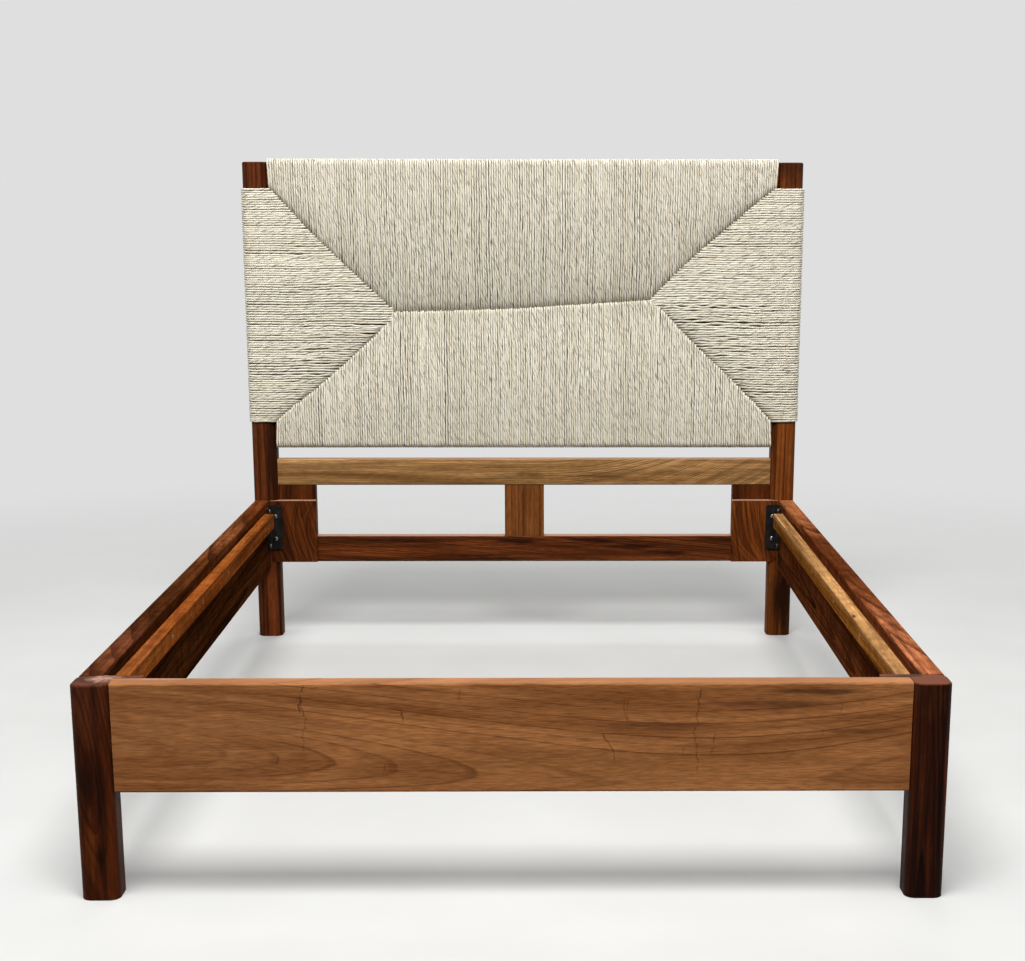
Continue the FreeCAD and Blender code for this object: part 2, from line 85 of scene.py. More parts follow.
class Tree:
    """The node tree of a new material or world, filled by short calls."""

    def __init__(self, name, kind="materials"):
        self.owner = getattr(bpy.data, kind).new(name)
        self.owner.use_nodes = True
        self.nodes = self.owner.node_tree.nodes
        self.links = self.owner.node_tree.links

    def put(self, node, inputs):
        for key, value in inputs.items():
            if isinstance(value, bpy.types.NodeSocket):
                self.links.new(value, node.inputs[key])
            else:
                node.inputs[key].default_value = value
        return node

    def new(self, kind, inputs, **settings):
        node = self.nodes.new("ShaderNode" + kind)
        for key, value in settings.items():
            setattr(node, key, value)
        return self.put(node, inputs)

    def math(self, operation, *values):
        return self.new("Math", dict(enumerate(values)), operation=operation).outputs[0]

    def place(self):
        return self.new("TexCoord", {}).outputs["Object"]

    def chart(self, name):
        return self.split(self.new("UVMap", {}, uv_map=name).outputs[0])

    def join(self, first, second, third):
        return self.new("CombineXYZ", {0: first, 1: second, 2: third}).outputs[0]

    def split(self, vector):
        return self.new("SeparateXYZ", {0: vector}).outputs

    def less(self, vector, other):
        return self.new("VectorMath", {0: vector, 1: other}, operation="SUBTRACT").outputs[0]

    def stretch(self, vector, scale):
        return self.new("VectorMath", {0: vector, 1: scale}, operation="MULTIPLY").outputs[0]

    def size(self, vector):
        return self.new("VectorMath", {0: vector}, operation="LENGTH").outputs["Value"]

    def noise(self, vector, scale, detail=2.0, rough=0.5, output="Fac"):
        inputs = {"Vector": self.stretch(vector, scale), "Scale": 1.0, "Detail": detail, "Roughness": rough}
        return self.new("TexNoise", inputs).outputs[output]

    def chance(self, value):
        return self.new("TexWhiteNoise", {"W": value}, noise_dimensions="1D").outputs["Value"]

    def span(self, value, low, high, first=0.0, last=1.0):
        inputs = {"Value": value, "From Min": low, "From Max": high, "To Min": first, "To Max": last}
        return self.new("MapRange", inputs, interpolation_type="SMOOTHSTEP").outputs[0]

    def ramp(self, value, stops):
        node = self.new("ValToRGB", {"Fac": value})
        elements = node.color_ramp.elements
        while len(elements) < len(stops):
            elements.new(0.5)
        for element, (position, level) in zip(elements, stops):
            element.position = position
            element.color = (level, level, level, 1.0)
        return node.outputs["Color"]

    def mix(self, factor, first, second, blend="MIX"):
        node = self.new("Mix", {0: factor, 6: first, 7: second}, data_type="RGBA", blend_type=blend)
        return node.outputs[2]

    def tint(self, colour, cover, share, other):
        return self.mix(self.math("MULTIPLY", cover, share), colour, other)

    def vary(self, colour, value, low, high, first, last):
        return self.mix(1.0, colour, self.span(value, low, high, first, last), "MULTIPLY")

    def seen(self):
        """1 where the camera looks, also by reflection or through glass, and 0 for light on the object."""
        paths = self.new("LightPath", {}).outputs
        straight = self.math("MAXIMUM", paths["Is Camera Ray"], paths["Is Glossy Ray"])
        return self.math("MAXIMUM", straight, paths["Is Transmission Ray"])

    def shade(self, colour, roughness, gloss=0.5, metal=0.0, alpha=1.0):
        self.put(self.nodes["Principled BSDF"], {
            "Base Color": colour, "Roughness": roughness, "Specular IOR Level": gloss, "Metallic": metal,
            "Alpha": alpha,
        })

    def bump(self, height, strength, distance):
        node = self.new("Bump", {"Height": height, "Strength": strength, "Distance": distance})
        self.put(self.nodes["Principled BSDF"], {"Normal": node.outputs[0]})


def dress(node, material):
    """Gives every slot of a CAD node a material."""
    for material_slot in NODES[node].material_slots:
        material_slot.material = material


# Timber. Scales are waves of noise per metre, first along the grain. Ranges are levels of noise between which
# a feature sets in. Lengths are in metres.
GRAIN_ORDER = {"X": "XYZ", "Y": "YZX", "Z": "ZXY"}
SEED_STEP = 3.7
DRIFT_SCALE = (1.1, 6.0, 6.0)
WAVER_SCALE = (4.0, 45.0, 45.0)
WAVER_SHARE = 0.25
WEAKEST_LINE = 0.12
FAINT_SHARE = 0.3
ZONE_SCALE = (1.6, 55.0, 1.0)
MOTTLE_SCALE = (1.0, 14.0, 14.0)
BROAD_RANGE = (0.68, 1.32)
STREAK_SCALE = (1.4, 55.0, 55.0)
STREAK_RANGE = (0.52, 0.74)
STRAND_SCALE = (5.0, 140.0, 140.0)
FINE_SCALE = (34.0, 420.0, 420.0)
FINE_LEVELS = (0.74, 1.25)
PORE_SCALE = (45.0, 1300.0, 1300.0)
PORE_RANGE = (0.64, 0.72)
PORE_SHARE = 0.5
CURL_SCALE = (26.0, 9.0, 9.0)
OUTER_LAYER_BLEND = 0.006
DARKER_BEHIND_BLEND = 0.001
DARKER_BEHIND_LEVEL = 0.6
# Painted light and shade on a top face: how far below and above the top it blends in, and how ragged it is.
TOP_LIGHT_EDGE = (0.0015, 0.001)
TOP_LIGHT_RAGGED = 0.002
WOOD_ROUGHNESS = (0.44, 0.6)
WOOD_BUMP = (0.16, 0.0004)
PATCH_SCALE = (1.6,) * 3
PATCH_RAGGED = 1.3
PATCH_EDGE = (0.9, 1.65)
MARK_TONE = (72, 40, 22)
MARK_WAVES = (9.0, 9.0, 40.0)
MARK_SWAY = 0.026
MARK_BREAKS = (70.0,) * 3
MARK_LEAST = 0.15
MARK_WIDTHS = (0.0003, 0.0026)
MARK_FADE = 0.010


def heart_distance(tree, grain_axes, fibre, heart, lean, bow, arch, sway):
    """How far a point is from the heart line of the trunk, with some wander."""
    along, across, through = grain_axes
    drift = tree.split(tree.noise(fibre, DRIFT_SCALE, output="Color"))
    bow_run = tree.math("SUBTRACT", along, bow[1])
    bow_square = tree.math("MULTIPLY", bow_run, bow_run)
    heart_across = tree.math("MULTIPLY_ADD", along, lean[0], heart[0])
    heart_across = tree.math("MULTIPLY_ADD", bow_square, bow[0], heart_across)
    heart_through = tree.math("MULTIPLY_ADD", along, lean[1], heart[1])
    if arch:
        arch_run = tree.math("MAXIMUM", tree.math("SUBTRACT", along, arch[1]), 0.0)
        arch_square = tree.math("MULTIPLY", arch_run, arch_run)
        heart_through = tree.math("MULTIPLY_ADD", arch_square, arch[0], heart_through)
    off_across = tree.math("SUBTRACT", across, heart_across)
    off_through = tree.math("SUBTRACT", through, heart_through)
    off_across = tree.math("MULTIPLY_ADD", drift[0], sway, off_across)
    off_through = tree.math("MULTIPLY_ADD", drift[1], sway, off_through)
    return tree.size(tree.join(0.0, off_across, off_through))


def ring_lines(tree, along, fibre, radius, ring, start, edge, lines, faint):
    """How strong the dark line of a growth ring is at a point. Each ring has a strength of its own."""
    waver = tree.noise(fibre, WAVER_SCALE)
    phase = tree.math("MULTIPLY_ADD", waver, WAVER_SHARE, tree.math("DIVIDE", radius, ring))
    phase = tree.math("ADD", phase, start)
    band_stops = [(0.0, 0.0), (edge, 0.1), (0.5 * edge + 0.46, 0.7), (0.95, 1.0), (1.0, 0.05)]
    band = tree.ramp(tree.math("FRACT", phase), band_stops)
    strength = tree.span(tree.chance(tree.math("FLOOR", phase)), 0.0, 1.0, WEAKEST_LINE, lines)
    if faint:
        strength = tree.math("MULTIPLY", strength, tree.span(along, *faint, FAINT_SHARE, 1.0))
    return tree.math("MULTIPLY", band, strength)


def patch_cover(tree, local, centre, radii):
    """How far a soft, ragged patch covers a point."""
    scaled = tree.stretch(tree.less(local, centre), [1 / radius for radius in radii])
    ragged = tree.noise(scaled, PATCH_SCALE, 3.0)
    away = tree.math("MULTIPLY_ADD", ragged, PATCH_RAGGED, tree.size(scaled))
    return tree.span(away, *PATCH_EDGE, 1.0, 0.0)


def cross_marks(tree, local, marks):
    """Thin soft marks that run up the face of a plank.

    marks are (x, lower z, upper z, slant, strength), measured from the middle of the plank.
    """
    wavy = tree.noise(local, MARK_WAVES, 3.0, 0.6)
    axes = tree.split(local)
    shifted = tree.math("MULTIPLY_ADD", tree.math("SUBTRACT", wavy, 0.5), MARK_SWAY, axes["X"])
    broken = tree.span(tree.noise(local, MARK_BREAKS, 2.0), 0.34, 0.6, MARK_LEAST, 1.0)
    total = 0.0
    for x, low, high, slant, strength in marks:
        line_x = tree.math("MULTIPLY_ADD", axes["Z"], -slant, shifted)
        off = tree.math("ABSOLUTE", tree.math("SUBTRACT", line_x, x - slant * (low + high) / 2))
        line = tree.span(off, *MARK_WIDTHS, strength, 0.0)
        above = tree.span(axes["Z"], low, low + MARK_FADE)
        below = tree.span(axes["Z"], high - MARK_FADE, high, 1.0, 0.0)
        mark = tree.math("MULTIPLY", line, tree.math("MULTIPLY", above, below))
        total = tree.math("MAXIMUM", mark, total)
    return tree.math("MULTIPLY", total, broken)


def wood(node, grain, tones, heart, lean=(0.0, 0.0), bow=(0.0, 0.0), arch=None, ring=0.007, start=0.0,
         edge=0.5, sway=0.008, turn=0.0, lines=0.8, faint=None, streaks=0.7, strand=0.2, figure=0.0,
         gloss=0.04, sapwood_and_lit_top=None, darker_behind=None, top_light_and_shade=None, patches=(), marks=(), seed=0.0):
    """Gives a CAD node solid timber: growth rings about a heart line, with fibre, streaks and pores.

    grain is the axis that the fibre follows, and turn leans it about Y. tones are dark, middle and light.
    heart, lean and bow place the heart line in the two other axes, from the middle of the piece. arch curves
    it in the second of them, past a place along the grain, and sway lets it wander. ring is the width of a
    ring, start shifts the rings, and edge is the share of a ring where its dark line sets in. faint is two
    places along the grain: the lines are weak before the first and strong past the second. lines, streaks,
    strand, figure and gloss are strengths. sapwood_and_lit_top is the radius where a paler outer layer starts
    and its colour: sapwood on a leg, and painted light on a ledger, whose top face it makes paler than its
    sides. darker_behind is the depth behind which the piece is darker. top_light_and_shade is the colour and
    the strength of painted light and shade on the top face: a paler top on some pieces, a darker top on
    others.
    """
    dark, middle, light = (tone(*colour) for colour in tones)
    low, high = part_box(node)
    tree = Tree(node + "_wood")
    centred = tree.less(tree.place(), (low + high) / 2)
    local = tree.new("Mapping", {"Vector": centred, "Rotation": (0.0, turn, 0.0)}).outputs[0]
    axes = tree.split(local)
    grain_axes = [axes[axis] for axis in GRAIN_ORDER[grain]]
    along, across, through = grain_axes
    fibre = tree.join(tree.math("ADD", along, seed * SEED_STEP), across, through)
    radius = heart_distance(tree, grain_axes, fibre, heart, lean, bow, arch, sway)
    ring_line = ring_lines(tree, along, fibre, radius, ring, start, edge, lines, faint)

    zones = tree.noise(tree.join(along, radius, seed), ZONE_SCALE, 3.0)
    mottle = tree.noise(fibre, MOTTLE_SCALE, 3.0)
    broad = tree.span(tree.math("ADD", zones, mottle), *BROAD_RANGE)
    streak = tree.span(tree.noise(fibre, STREAK_SCALE, 4.0), *STREAK_RANGE, 0.0, streaks)
    strands = tree.noise(fibre, STRAND_SCALE, 3.0)
    fine = tree.noise(fibre, FINE_SCALE, 3.0)
    pores = tree.span(tree.noise(fibre, PORE_SCALE, 1.0), *PORE_RANGE)

    colour = tree.mix(broad, middle, light)
    # A paler outer layer: sapwood on a leg, painted light on the top face of a ledger.
    if sapwood_and_lit_top:
        outer_share = tree.span(radius, sapwood_and_lit_top[0], sapwood_and_lit_top[0] + OUTER_LAYER_BLEND)
        colour = tree.mix(outer_share, colour, tone(*sapwood_and_lit_top[1]))
    for centre, radii, patch_tone, patch_share in patches:
        colour = tree.tint(colour, patch_cover(tree, local, centre, radii), patch_share, tone(*patch_tone))
    colour = tree.mix(ring_line, colour, dark)
    colour = tree.mix(streak, colour, dark)
    if figure:
        colour = tree.vary(colour, tree.noise(fibre, CURL_SCALE, 2.0), 0.3, 0.7, 1.0 - figure, 1.0 + figure)
    colour = tree.vary(colour, strands, 0.3, 0.7, 1.0 - strand, 1.0 + strand)
    colour = tree.vary(colour, fine, 0.25, 0.75, *FINE_LEVELS)
    colour = tree.tint(colour, pores, PORE_SHARE, dark)
    if darker_behind is not None:
        colour = tree.vary(colour, through, darker_behind, darker_behind + DARKER_BEHIND_BLEND, 1.0, DARKER_BEHIND_LEVEL)
    # Painted light and shade on the top face, with a ragged lower edge.
    if top_light_and_shade:
        top = (high - low).z / 2
        level = tree.math("MULTIPLY_ADD", fine, TOP_LIGHT_RAGGED, tree.split(centred)["Z"])
        top_share = tree.span(level, top - TOP_LIGHT_EDGE[0], top + TOP_LIGHT_EDGE[1], 0.0, top_light_and_shade[1])
        colour = tree.mix(top_share, colour, tone(*top_light_and_shade[0]))
    if marks:
        colour = tree.mix(cross_marks(tree, local, marks), colour, tone(*MARK_TONE))
    tree.shade(colour, tree.span(fine, 0.2, 0.8, *WOOD_ROUGHNESS), gloss)
    relief = tree.math("SUBTRACT", tree.math("MULTIPLY", fine, 0.5), pores)
    tree.bump(relief, *WOOD_BUMP)
    dress(node, tree.owner)


# Colours of the timber: dark, middle and light for each kind of piece, then single ones.
LEG_LEFT = ((15, 5, 2), (42, 17, 6), (84, 37, 13))
LEG_RIGHT = ((4, 1, 1), (13, 4, 2), (46, 19, 8))
POST_LEFT = ((24, 9, 4), (62, 27, 12), (106, 53, 24))
POST_RIGHT = ((44, 18, 5), (92, 44, 15), (132, 72, 28))
RAIL_LEFT = ((20, 8, 3), (49, 23, 8), (87, 47, 21))
RAIL_RIGHT = ((32, 12, 5), (74, 35, 16), (115, 62, 33))
LEDGER_LEFT = ((70, 30, 9), (130, 66, 25), (170, 98, 43))
LEDGER_RIGHT = ((64, 31, 9), (122, 72, 27), (170, 108, 47))
PLANK = ((86, 46, 21), (138, 84, 45), (192, 128, 77))
UPPER = ((52, 30, 12), (122, 85, 47), (192, 146, 93))
LOWER = ((26, 9, 3), (70, 31, 11), (116, 60, 26))
BLOCK = ((20, 7, 2), (54, 23, 7), (100, 49, 17))
BLOCK_RIGHT = ((28, 10, 3), (72, 32, 10), (124, 64, 24))
STILE = ((52, 24, 8), (92, 50, 20), (128, 76, 36))
# Painted light: a ledger's top face drawn pale as sapwood, paler than its sides.
LIT_TOP_SAPWOOD = (194, 145, 91)
PALE_SAPWOOD = (150, 98, 62)
# Painted sheen: a pale top face on rails and blocks.
TOP_SHEEN = (206, 160, 132)
# Painted shade: a darker footboard top, against the light that falls on it.
PLANK_TOP_SHADE = (112, 76, 48)
# Painted light: a paler top on the right leg.
LEG_TOP_LIGHT = (104, 52, 26)

# Marks on the footboard: x, lower z and upper z from its middle, slant and strength.
FOOTBOARD_MARKS = (
    (-0.388, 0.045, 0.105, 0.05, 0.75), (-0.384, 0.03, 0.08, -0.18, 0.5), (-0.386, -0.03, 0.05, 0.06, 0.35),
    (-0.436, -0.058, -0.03, 0.0, 0.3), (-0.202, 0.018, 0.06, -0.12, 0.7), (-0.24, -0.074, -0.044, 0.3, 0.45),
    (-0.096, 0.064, 0.098, 0.0, 0.55), (0.208, 0.02, 0.078, -0.12, 0.6), (0.213, 0.03, 0.084, 0.1, 0.4),
    (0.182, -0.048, 0.014, -0.37, 0.65), (0.343, -0.002, 0.098, 0.08, 0.65),
    (0.342, -0.072, 0.01, -0.04, 0.5), (0.375, -0.034, 0.024, 0.22, 0.5), (0.315, -0.04, -0.015, 0.1, 0.35),
    (0.572, -0.014, 0.022, 0.05, 0.35), (0.605, 0.042, 0.072, 0.1, 0.3),
)

# Places of another colour, each a centre and radii from the middle of the piece, a colour and a strength.
# Some are painted highlights, sheen and shade, marked where they stand.
FOOTBOARD_PATCHES = (
    ((-0.62, -0.02, 0.01), (0.46, 0.08, 0.24), (108, 65, 37), 0.3),
    ((0.57, -0.02, 0.088), (0.12, 0.06, 0.009), (72, 41, 26), 0.8),
    ((0.48, -0.02, 0.064), (0.16, 0.06, 0.012), (86, 50, 34), 0.65),
    ((0.27, -0.02, 0.024), (0.16, 0.06, 0.011), (92, 53, 34), 0.6),
    ((0.64, -0.02, 0.012), (0.1, 0.06, 0.007), (92, 53, 34), 0.5),
    ((0.22, -0.02, -0.06), (0.5, 0.06, 0.05), (180, 120, 70), 0.6),
    # Painted sheen on the top face at the left end.
    ((-0.66, 0.018, 0.105), (0.09, 0.014, 0.02), (196, 158, 136), 0.7),
)
LEG_LEFT_PATCHES = (
    ((-0.008, -0.03, 0.17), (0.06, 0.06, 0.1), (90, 45, 24), 0.75),
    ((0.004, -0.03, 0.01), (0.05, 0.05, 0.08), (26, 11, 6), 0.6),
    ((-0.01, -0.036, -0.105), (0.016, 0.04, 0.08), (112, 54, 20), 0.7),
    ((0.006, -0.036, -0.13), (0.007, 0.03, 0.06), (22, 8, 4), 0.8),
    # Painted highlight along the inner rounded edge.
    ((0.028, -0.02, -0.06), (0.008, 0.03, 0.22), (92, 38, 12), 0.6),
    # Painted sheen on the top face.
    ((0.016, 0.016, 0.209), (0.034, 0.034, 0.016), (176, 136, 118), 0.8),
)
LEG_RIGHT_PATCHES = (
    ((-0.01, -0.02, 0.195), (0.06, 0.06, 0.07), (80, 40, 20), 0.6),
    # Painted highlight along the right rounded edge.
    ((0.031, -0.024, 0.02), (0.007, 0.03, 0.26), (92, 36, 9), 0.65),
    # Painted highlight along the left rounded edge.
    ((-0.03, -0.03, 0.06), (0.007, 0.024, 0.2), (84, 36, 12), 0.5),
    ((-0.016, -0.036, 0.02), (0.014, 0.04, 0.2), (78, 36, 17), 0.6),
    ((0.012, -0.036, 0.11), (0.01, 0.03, 0.12), (70, 30, 14), 0.6),
    ((0.004, -0.036, -0.13), (0.016, 0.03, 0.08), (72, 31, 13), 0.6),
)
POST_LEFT_LIGHT_AND_SHADE = (
    # Painted highlight: the middle of the rounded foot is lit.
    ((0.008, -0.03, -0.6), (0.026, 0.06, 0.22), (130, 64, 30), 0.9),
    # Painted shade: the inner rounded corner is dark.
    ((0.03, -0.03, -0.1), (0.016, 0.04, 0.3), (34, 14, 7), 0.7),
)
POST_RIGHT_PATCHES = (
    ((0.0, -0.03, 0.69), (0.09, 0.09, 0.08), (54, 24, 12), 0.8),
    ((0.014, -0.03, -0.6), (0.05, 0.08, 0.17), (24, 10, 4), 0.9),
)
RAIL_LEFT_PATCHES = (
    ((0.0, -0.32, 0.1), (0.05, 0.22, 0.06), (40, 18, 9), 0.45),
    # The next three are painted sheen along the top face.
    ((0.0, 0.42, 0.105), (0.06, 0.34, 0.03), (138, 80, 46), 0.8),
    ((0.0, 0.9, 0.1), (0.06, 0.34, 0.07), (126, 66, 32), 0.7),
    ((0.0, -0.85, 0.105), (0.06, 0.38, 0.02), (104, 58, 38), 0.6),
)
# Painted sheen along the top face at both ends.
RAIL_RIGHT_SHEEN = (
    ((0.0, 0.85, 0.105), (0.06, 0.48, 0.03), (178, 108, 66), 0.8),
    ((0.0, -0.82, 0.105), (0.06, 0.52, 0.02), (180, 108, 70), 0.8),
)
LEDGER_LEFT_PATCHES = (
    ((0.012, 0.55, 0.02), (0.012, 0.55, 0.03), (92, 48, 18), 0.7),
    ((0.0, -0.8, 0.02), (0.03, 0.4, 0.04), (112, 62, 34), 0.6),
)
LEDGER_RIGHT_PATCHES = (
    ((-0.01, -0.42, 0.02), (0.006, 0.022, 0.02), (52, 26, 10), 0.95),
    ((0.01, -0.3, 0.02), (0.007, 0.3, 0.02), (132, 84, 42), 0.4),
    ((0.012, 0.35, 0.02), (0.007, 0.2, 0.02), (132, 84, 42), 0.4),
)
UPPER_PATCHES = (
    ((0.015, -0.02, -0.006), (0.06, 0.04, 0.014), (92, 60, 32), 0.6),
    ((0.24, -0.02, -0.016), (0.11, 0.04, 0.011), (86, 56, 30), 0.6),
)
LOWER_PATCHES = (
    ((-0.02, -0.02, 0.022), (0.09, 0.05, 0.014), (30, 11, 6), 0.8),
    ((0.21, -0.02, 0.022), (0.11, 0.05, 0.013), (30, 11, 6), 0.8),
    ((0.32, -0.02, 0.004), (0.11, 0.05, 0.013), (30, 11, 6), 0.8),
    ((0.43, -0.02, -0.014), (0.11, 0.05, 0.013), (34, 13, 7), 0.8),
    ((-0.4, -0.02, -0.01), (0.3, 0.05, 0.026), (122, 60, 26), 0.5),
)
# Painted sheen on the top face.
FOOT_BLOCK_SHEEN = (
    ((0.0, 0.0, 0.105), (0.08, 0.03, 0.016), (176, 136, 118), 0.7),
)

# Painted shade: the footboard's top face is darker, against the light that falls on it.
wood("footboard", "X", PLANK, heart=(0.0805, -0.068), lean=(0.0, -0.08), bow=(-0.056, 0.42), arch=(0.2, 0.12),
     ring=0.0097, start=2.25, edge=0.8, lines=0.7, faint=(-0.52, -0.36), streaks=0.2, strand=0.09, sway=0.012,
     top_light_and_shade=(PLANK_TOP_SHADE, 0.45), patches=FOOTBOARD_PATCHES, marks=FOOTBOARD_MARKS, seed=1.0)
wood("foot_leg_left", "Z", LEG_LEFT, heart=(-0.005, -0.0206), lean=(-0.12, -0.15), ring=0.008, lines=0.55,
     sapwood_and_lit_top=(0.0915, PALE_SAPWOOD), patches=LEG_LEFT_PATCHES, seed=2.0)
# Painted light: the top face of this leg is paler brown. The leg is also darker behind a given depth.
wood("foot_leg_right", "Z", LEG_RIGHT, heart=(-0.006, 0.0), lean=(-0.02, 0.02), ring=0.006, lines=0.9,
     sway=0.014, strand=0.4, darker_behind=0.012, top_light_and_shade=(LEG_TOP_LIGHT, 0.8), patches=LEG_RIGHT_PATCHES, seed=3.0)
wood("head_post_left", "Z", POST_LEFT, heart=(0.018, 0.03), lean=(0.01, 0.0), lines=0.9,
     patches=POST_LEFT_LIGHT_AND_SHADE, seed=4.0)
wood("head_post_right", "Z", POST_RIGHT, heart=(-0.05, 0.03), lean=(0.012, 0.0), ring=0.008, lines=0.9,
     patches=POST_RIGHT_PATCHES, seed=5.0)
wood("side_rail_left", "Y", RAIL_LEFT, heart=(-0.10, 0.05), lean=(0.05, 0.01), ring=0.008, strand=0.3,
     figure=0.18, gloss=0.0, patches=RAIL_LEFT_PATCHES, seed=6.0)
wood("side_rail_right", "Y", RAIL_RIGHT, heart=(-0.06, 0.03), lean=(0.03, -0.02), ring=0.006, lines=0.9,
     figure=0.2, gloss=0.0, patches=RAIL_RIGHT_SHEEN, seed=7.0)
wood("ledger_left", "Y", LEDGER_LEFT, heart=(-0.09, 0.02), lean=(0.02, 0.01), ring=0.009, lines=0.4,
     streaks=0.5, figure=0.16, gloss=0.0, patches=LEDGER_LEFT_PATCHES, seed=8.0)
# Painted light: this ledger's top face is pale, drawn as sapwood, so that its sides read as shaded.
wood("ledger_right", "Y", LEDGER_RIGHT, heart=(-0.09, 0.01), lean=(0.0, 0.01), lines=0.9,
     sapwood_and_lit_top=(0.104, LIT_TOP_SAPWOOD), figure=0.14, gloss=0.0, patches=LEDGER_RIGHT_PATCHES, seed=9.0)
# Painted sheen: the upper and lower head rails and the head blocks get a pale top face.
wood("head_upper_rail", "X", UPPER, heart=(0.02, 0.10), lean=(0.01, 0.01), arch=(0.42, 0.06),
     ring=0.0065, edge=0.6, lines=0.9, faint=(-0.25, 0.2), streaks=0.5, strand=0.24, sway=0.014,
     top_light_and_shade=(TOP_SHEEN, 0.5), patches=UPPER_PATCHES, seed=10.0)
wood("head_lower_rail", "X", LOWER, heart=(0.02, 0.17), lean=(-0.02, -0.10), lines=0.9,
     strand=0.3, top_light_and_shade=(TOP_SHEEN, 0.5), patches=LOWER_PATCHES, seed=11.0)
wood("head_top_rail", "X", LOWER, heart=(0.06, 0.05), seed=12.0)
wood("head_weave_rail", "X", LOWER, heart=(0.06, 0.04), seed=13.0)
wood("head_block_left", "Z", BLOCK, heart=(0.03, 0.05), bow=(4.0, -0.03), turn=0.25, ring=0.005, sway=0.024,
     lines=0.65, strand=0.42, top_light_and_shade=(TOP_SHEEN, 0.7), seed=14.0)
wood("head_block_right", "Z", BLOCK_RIGHT, heart=(-0.03, 0.05), bow=(3.0, 0.03), turn=0.15, ring=0.005,
     sway=0.024, lines=0.65, strand=0.42, top_light_and_shade=(TOP_SHEEN, 0.7), seed=15.0)
wood("foot_block_left", "Z", BLOCK, heart=(0.03, 0.08), turn=0.2, patches=FOOT_BLOCK_SHEEN,
     seed=16.0)
wood("foot_block_right", "Z", BLOCK, heart=(-0.03, 0.08), turn=0.2, seed=17.0)
wood("head_stile_left", "Z", BLOCK, heart=(0.02, 0.06), turn=-0.06, ring=0.006, sway=0.02, seed=18.0)
wood("head_stile_right", "Z", BLOCK, heart=(0.02, 0.06), turn=0.04, ring=0.006, sway=0.02, seed=19.0)
wood("head_center_stile", "Z", STILE, heart=(0.03, 0.05), lines=0.7, streaks=0.4, sway=0.02,
     seed=20.0)

# Steel and cord: colours, waves of noise per metre, and strength and depth of bumps. The cord's waves are per
# radius across it and per metre along it.
BLACK_PAINT = tone(15, 14, 13)
DUSTY_PAINT = tone(33, 30, 27)
RUBBED_PAINT = tone(74, 70, 65)
DUST_SCALE = (60.0, 60.0, 40.0)
RUBBED_SCALE = (380.0,) * 3
PAINT_ROUGHNESS = (0.34, 0.5)
PAINT_GLOSS = 0.16
PAINT_BUMP = (0.08, 0.0005)
BOLT_TONES = (tone(128, 126, 121), tone(76, 73, 68))
SCREW_TONES = (tone(128, 112, 84), tone(74, 62, 46))
DULL_SCALE = (220.0,) * 3
TURNING_SCALE = (1500.0,) * 3
STEEL_ROUGHNESS = (0.24, 0.42)
STEEL_BUMP = (0.06, 0.0002)
CREAM_TONES = (tone(239, 234, 218), tone(223, 215, 193))
TAN_TONE = tone(206, 191, 163)
DASH_TONE = tone(122, 111, 80)
# Painted shade: in the crease and the slits between the plies, and near an end that goes under a field.
CREASE_SHADE_TONE = tone(120, 104, 74)
TUCKED_SHADE_TONE = tone(88, 68, 44)
SLIT_SHADE_TONE = tone(64, 58, 36)
DASH_SCALE = (0.9, 0.9, 40.0)
TAN_SCALE = (0.45, 0.45, 9.0)
TWINE_SCALE = (4.5, 4.5, 26.0)
SLIT_SCALE = (0.3, 0.3, 46.0)
CREASE_POWER = 5.0
SLIT_POWER = 26.0
TUCKED_SHADE = (0.008, 0.036, 0.55)
SUNK_SHADE = (0.0, 0.12, 0.16)
CORD_ROUGHNESS = (0.55, 0.8)
CORD_GLOSS = 0.3
CORD_BUMP = (0.35, 0.0006)
# The core is dark as painted shade in the gaps between cords.
CORE_SHADE_TONES = (tone(52, 42, 30), tone(98, 82, 60))
CORE_SCALE = (160.0, 20.0, 160.0)
CORE_ROUGHNESS = (0.75, 0.95)
CORE_BUMP = (0.4, 0.002)

# Each cord has a stretch of this length to itself in the chart, and a colour of its own by that.
CORD_SPAN = 2.0


def black_steel():
    """Satin black paint on steel, with dust and rubbed specks."""
    tree = Tree("black_steel_paint")
    place = tree.place()
    dust = tree.noise(place, DUST_SCALE, 4.0, 0.6)
    rubbed = tree.span(tree.noise(place, RUBBED_SCALE, 3.0), 0.66, 0.72)
    colour = tree.mix(tree.span(dust, 0.35, 0.75), BLACK_PAINT, DUSTY_PAINT)
    colour = tree.tint(colour, rubbed, 0.5, RUBBED_PAINT)
    tree.shade(colour, tree.span(dust, 0.3, 0.7, *PAINT_ROUGHNESS), PAINT_GLOSS)
    tree.bump(dust, *PAINT_BUMP)
    return tree.owner


def bright_steel(name, base, stain):
    """Plated steel with fine turning marks and dull patches."""
    tree = Tree(name)
    place = tree.place()
    dull = tree.noise(place, DULL_SCALE, 3.0)
    colour = tree.mix(tree.span(dull, 0.4, 0.7), base, stain)
    tree.shade(colour, tree.span(dull, 0.3, 0.7, *STEEL_ROUGHNESS), metal=1.0)
    tree.bump(tree.noise(place, TURNING_SCALE, 1.0), *STEEL_BUMP)
    return tree.owner


